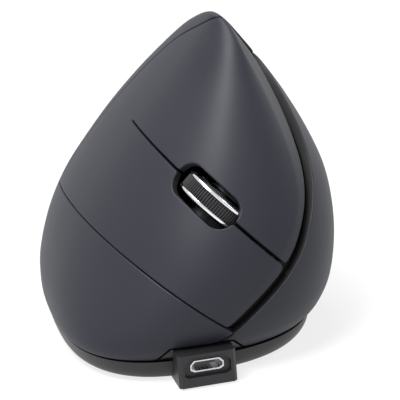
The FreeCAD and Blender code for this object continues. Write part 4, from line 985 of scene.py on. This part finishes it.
class MOUSE_OT_liner(bpy.types.Operator):
    """Lay the dark flange at the bottom of the groove, its near-black colour painted shade that makes the
    groove read dark
    """
    bl_idname = "mouse.liner"
    bl_label = "Groove liner"

    def execute(self, context):
        def strip(p):
            rear, low, _ = key_bounds(p)
            across = LINER_HALF_WIDTH - np.abs(from_groove(p)[0] - LINER_MIDDLE)
            ends = np.minimum(low + LINER_PAST_LOW_SEAM, rear + LINER_PAST_REAR_SEAM)
            return np.minimum(np.minimum(across, p[:, 2] - LINER_BOTTOM), ends)

        points, normals, triangles = body_grid()
        sunk = points - normals * LINER_DEPTH
        points, normals, faces, _ = skin(sunk, normals, triangles, strip, roll=LINER_ROLL, wall=LINER_WALL)
        # The flange's near-black finish is painted shade at the bottom of the groove
        piece = mesh_piece("groove_liner", points, normals, faces, finish("painted_shade_liner"))
        place_piece(piece, "housing", "base")
        return {"FINISHED"}


class MOUSE_OT_thumb_controls(bpy.types.Operator):
    """Cut the gloss trim and the three thumb buttons"""
    bl_idname = "mouse.thumb_controls"
    bl_label = "Thumb buttons"

    def execute(self, context):
        shell_piece("thumb_trim_skin", trim_field, "trim", "housing", ["thumb_trim"], roll=TRIM_ROLL,
                    wall=TRIM_WALL)
        for name, centre in thumb_button_places().items():
            body = name.replace("_button", "_key")
            shell_piece(name + "_skin", lambda p: -button_distance(p, name, centre), "trim", body, [name],
                        roll=BUTTON_ROLL, wall=BUTTON_WALL)
        return {"FINISHED"}


class MOUSE_OT_wheel(bpy.types.Operator):
    """Turn the wheel's rims and tyre and set ribs round the tyre"""
    bl_idname = "mouse.wheel"
    bl_label = "Wheel"

    def execute(self, context):
        size = context.scene.mouse_sizes
        radius, half = size.wheel_radius / MM, size.wheel_width / 2 / MM
        for name, side in (("wheel_rim_lower", -1), ("wheel_rim_upper", 1)):
            corners = [(radius - RIM_DEPTH, half - RIM_WIDTH), (radius - RIM_DEPTH, half),
                       (radius - 1.0, half + 0.02), (radius - 0.12, half - 0.42), (radius, half - 0.9),
                       (radius - 0.35, half - 1.15)]
            profile = rounded_profile(corners, RIM_ROUNDING)
            points, normals, faces = lathe(profile[::-1], WHEEL_SEGMENTS, np.eye(3), np.zeros(3))
            points[:, 2] *= side
            normals[:, 2] *= side
            if side < 0:
                faces = faces[:, ::-1]
            points = points @ WHEEL_TURN.T + WHEEL_CENTRE
            piece = mesh_piece(name + "_skin", points, normals @ WHEEL_TURN.T, faces, finish("rim"))
            place_piece(piece, "wheel", "rim", name)
        tyre, width = radius - TYRE_STEP, half - RIM_WIDTH
        inner, shoulder = tyre - TYRE_DEPTH, tyre - TYRE_CROWN
        profile = rounded_profile([(inner, -width), (shoulder, -width), (tyre, 0.0), (shoulder, width),
                                   (inner, width)], TYRE_ROUNDING)
        points, normals, faces = lathe(profile, WHEEL_SEGMENTS, WHEEL_TURN, WHEEL_CENTRE)
        body = mesh_piece("wheel_tyre_skin", points, normals, faces, finish("tyre"))
        place_piece(body, "wheel", "tyre", "wheel_tyre")
        piece = self.ribs(tyre, width - RIB_END_GAP, size.tyre_ribs)
        place_piece(piece, "wheel", "tyre")
        return {"FINISHED"}

    def ribs(self, radius, width, count):
        """One rib, copied round the tyre."""
        pitch = 2 * math.pi * radius / count
        points = []
        for z, scale in ((-width, 0.55), (-width + 0.12, 0.92), (-width + 0.3, 1.0), (width - 0.3, 1.0),
                         (width - 0.12, 0.92), (width, 0.55)):
            for y, rise in RIB_SHAPE:
                points.append((radius + rise * scale, y * pitch, z))
        n = len(RIB_SHAPE)
        faces = [(r * n + k, (r + 1) * n + k, (r + 1) * n + k + 1, r * n + k + 1)
                 for r in range(5) for k in range(n - 1)]
        faces += [tuple(range(n)), tuple(range(6 * n - 1, 5 * n - 1, -1))]
        faces += [(r * n, r * n + n - 1, (r + 1) * n + n - 1, (r + 1) * n) for r in range(5)]
        source = mesh_piece("rib", points, None, [f[::-1] for f in faces], finish("tyre"), origin=np.zeros(3))
        tree = ring_tree(finish("tyre"))
        return through_nodes("wheel_tyre_ribs", source, tree, {"Count": count, "Phase": 0.0}, WHEEL_TURN,
                             WHEEL_CENTRE)


class MOUSE_OT_fittings(bpy.types.Operator):
    """Give the base, boards, switches and other fittings their finishes"""
    bl_idname = "mouse.fittings"
    bl_label = "Base and fittings"

    def execute(self, context):
        for slot in ("base", "hub", "socket", "board", "component", "plunger", "lens", "battery", "connector",
                     "lead_black", "lead_red", "ribbon", "screw", "foot", "shell", "trim", "tyre", "rim"):
            dress(slot)
        return {"FINISHED"}


def seen_directly(tree):
    """1 for the rays that show the background: the camera's, and what metal and glass pass on."""
    add = tree.nodes.new
    path, first, both = add("ShaderNodeLightPath"), add("ShaderNodeMath"), add("ShaderNodeMath")
    first.operation = both.operation = "MAXIMUM"
    tree.links.new(path.outputs["Is Camera Ray"], first.inputs[0])
    tree.links.new(path.outputs["Is Glossy Ray"], first.inputs[1])
    tree.links.new(first.outputs[0], both.inputs[0])
    tree.links.new(path.outputs["Is Transmission Ray"], both.inputs[1])
    return both.outputs[0]


class MOUSE_OT_stage(bpy.types.Operator):
    """Set the pale floor, the lamps, the world and the camera"""
    bl_idname = "mouse.stage"
    bl_label = "Stage"

    def execute(self, context):
        scene = context.scene
        scene.view_settings.view_transform = "Standard"
        self.floor()
        self.world(scene)
        for name, place, aim, size, power in LAMPS:
            self.lamp(name, Vector(place), Vector(aim), size, power)
        self.camera(scene)
        return {"FINISHED"}

    def lamp(self, name, place, aim, size, power):
        data = bpy.data.lights.new(name, "AREA")
        data.shape = "DISK"
        data.size = size
        data.energy = power
        lamp = bpy.data.objects.new(name, data)
        lamp.location = place
        lamp.rotation_euler = (aim - place).to_track_quat("-Z", "Y").to_euler()
        bpy.context.scene.collection.objects.link(lamp)

    def floor(self):
        corners = [(x * FLOOR_HALF, y * FLOOR_HALF, 0.0) for x, y in ((-1, -1), (1, -1), (1, 1), (-1, 1))]
        mesh = bpy.data.meshes.new("floor")
        mesh.from_pydata(corners, [], [(0, 1, 2, 3)])
        material = bpy.data.materials.new("floor_white")
        material.use_nodes = True
        tree = material.node_tree
        tree.nodes.clear()
        add, link = tree.nodes.new, tree.links.new
        seen = seen_directly(tree)
        share = add("ShaderNodeMath")
        share.operation = "MULTIPLY"
        share.inputs[1].default_value = 0.8
        link(seen, share.inputs[0])
        plain, glow = add("ShaderNodeBsdfDiffuse"), add("ShaderNodeEmission")
        both, out = add("ShaderNodeMixShader"), add("ShaderNodeOutputMaterial")
        plain.inputs["Color"].default_value = (0.93, 0.93, 0.93, 1.0)
        link(share.outputs[0], both.inputs[0])
        link(plain.outputs[0], both.inputs[1])
        link(glow.outputs[0], both.inputs[2])
        link(both.outputs[0], out.inputs[0])
        mesh.materials.append(material)
        floor = bpy.data.objects.new("floor", mesh)
        bpy.context.scene.collection.objects.link(floor)

    def world(self, scene):
        world = bpy.data.worlds.new("studio")
        world.use_nodes = True
        scene.world = world
        tree = world.node_tree
        tree.nodes.clear()
        add, link = tree.nodes.new, tree.links.new
        seen = seen_directly(tree)
        soft, white = add("ShaderNodeBackground"), add("ShaderNodeBackground")
        both, out = add("ShaderNodeMixShader"), add("ShaderNodeOutputWorld")
        soft.inputs["Color"].default_value = (0.93, 0.96, 1.0, 1.0)
        soft.inputs["Strength"].default_value = 0.35
        link(seen, both.inputs[0])
        link(soft.outputs[0], both.inputs[1])
        link(white.outputs[0], both.inputs[2])
        link(both.outputs[0], out.inputs[0])

    def camera(self, scene):
        azimuth, elevation, roll = (math.radians(turn) for turn in CAMERA_TURNS)
        back = Vector((math.sin(azimuth) * math.cos(elevation), -math.cos(azimuth) * math.cos(elevation),
                       math.sin(elevation)))
        right = Vector((math.cos(azimuth), math.sin(azimuth), 0.0))
        up = back.cross(right)
        across = right * math.cos(roll) - up * math.sin(roll)
        above = right * math.sin(roll) + up * math.cos(roll)
        data = bpy.data.cameras.new("camera")
        data.lens = PIXELS_PER_MM * CAMERA_DISTANCE / PHOTO_PIXELS * data.sensor_width
        data.shift_x = CAMERA_SHIFT_PIXELS[0] / PHOTO_PIXELS
        data.shift_y = CAMERA_SHIFT_PIXELS[1] / PHOTO_PIXELS
        data.clip_start = 0.02
        camera = bpy.data.objects.new("camera", data)
        target = Vector(((np.array(CAMERA_TARGET) - ORIGIN) * MM).tolist())
        matrix = Matrix((across, above, back)).transposed().to_4x4()
        matrix.translation = target + back * CAMERA_DISTANCE * MM
        camera.matrix_world = matrix
        scene.collection.objects.link(camera)
        scene.camera = camera


class MOUSE_PT_panel(bpy.types.Panel):
    """The mouse's sizes, colours and pieces"""
    bl_idname = "MOUSE_PT_panel"
    bl_label = "Vertical mouse"
    bl_space_type = "VIEW_3D"
    bl_region_type = "UI"
    bl_category = "Mouse"

    def draw(self, context):
        for group in (context.scene.mouse_sizes, context.scene.mouse_colours):
            column = self.layout.column(align=True)
            for name in group.bl_rna.properties.keys():
                if name not in ("rna_type", "name"):
                    column.prop(group, name)
        for operator in OPERATORS:
            self.layout.operator(operator.bl_idname)


OPERATORS = (MOUSE_OT_fittings, MOUSE_OT_shells, MOUSE_OT_keys, MOUSE_OT_liner, MOUSE_OT_thumb_controls,
             MOUSE_OT_wheel, MOUSE_OT_stage)
CLASSES = (MouseSizes, MouseColours) + OPERATORS + (MOUSE_PT_panel,)


def register():
    for cls in CLASSES:
        bpy.utils.register_class(cls)
    bpy.types.Scene.mouse_sizes = PointerProperty(type=MouseSizes)
    bpy.types.Scene.mouse_colours = PointerProperty(type=MouseColours)


def unregister():
    del bpy.types.Scene.mouse_colours
    del bpy.types.Scene.mouse_sizes
    for cls in reversed(CLASSES):
        bpy.utils.unregister_class(cls)


def main():
    register()
    for operator in OPERATORS:
        group, name = operator.bl_idname.split(".")
        getattr(getattr(bpy.ops, group), name)()


if __name__ == "__main__":
    main()
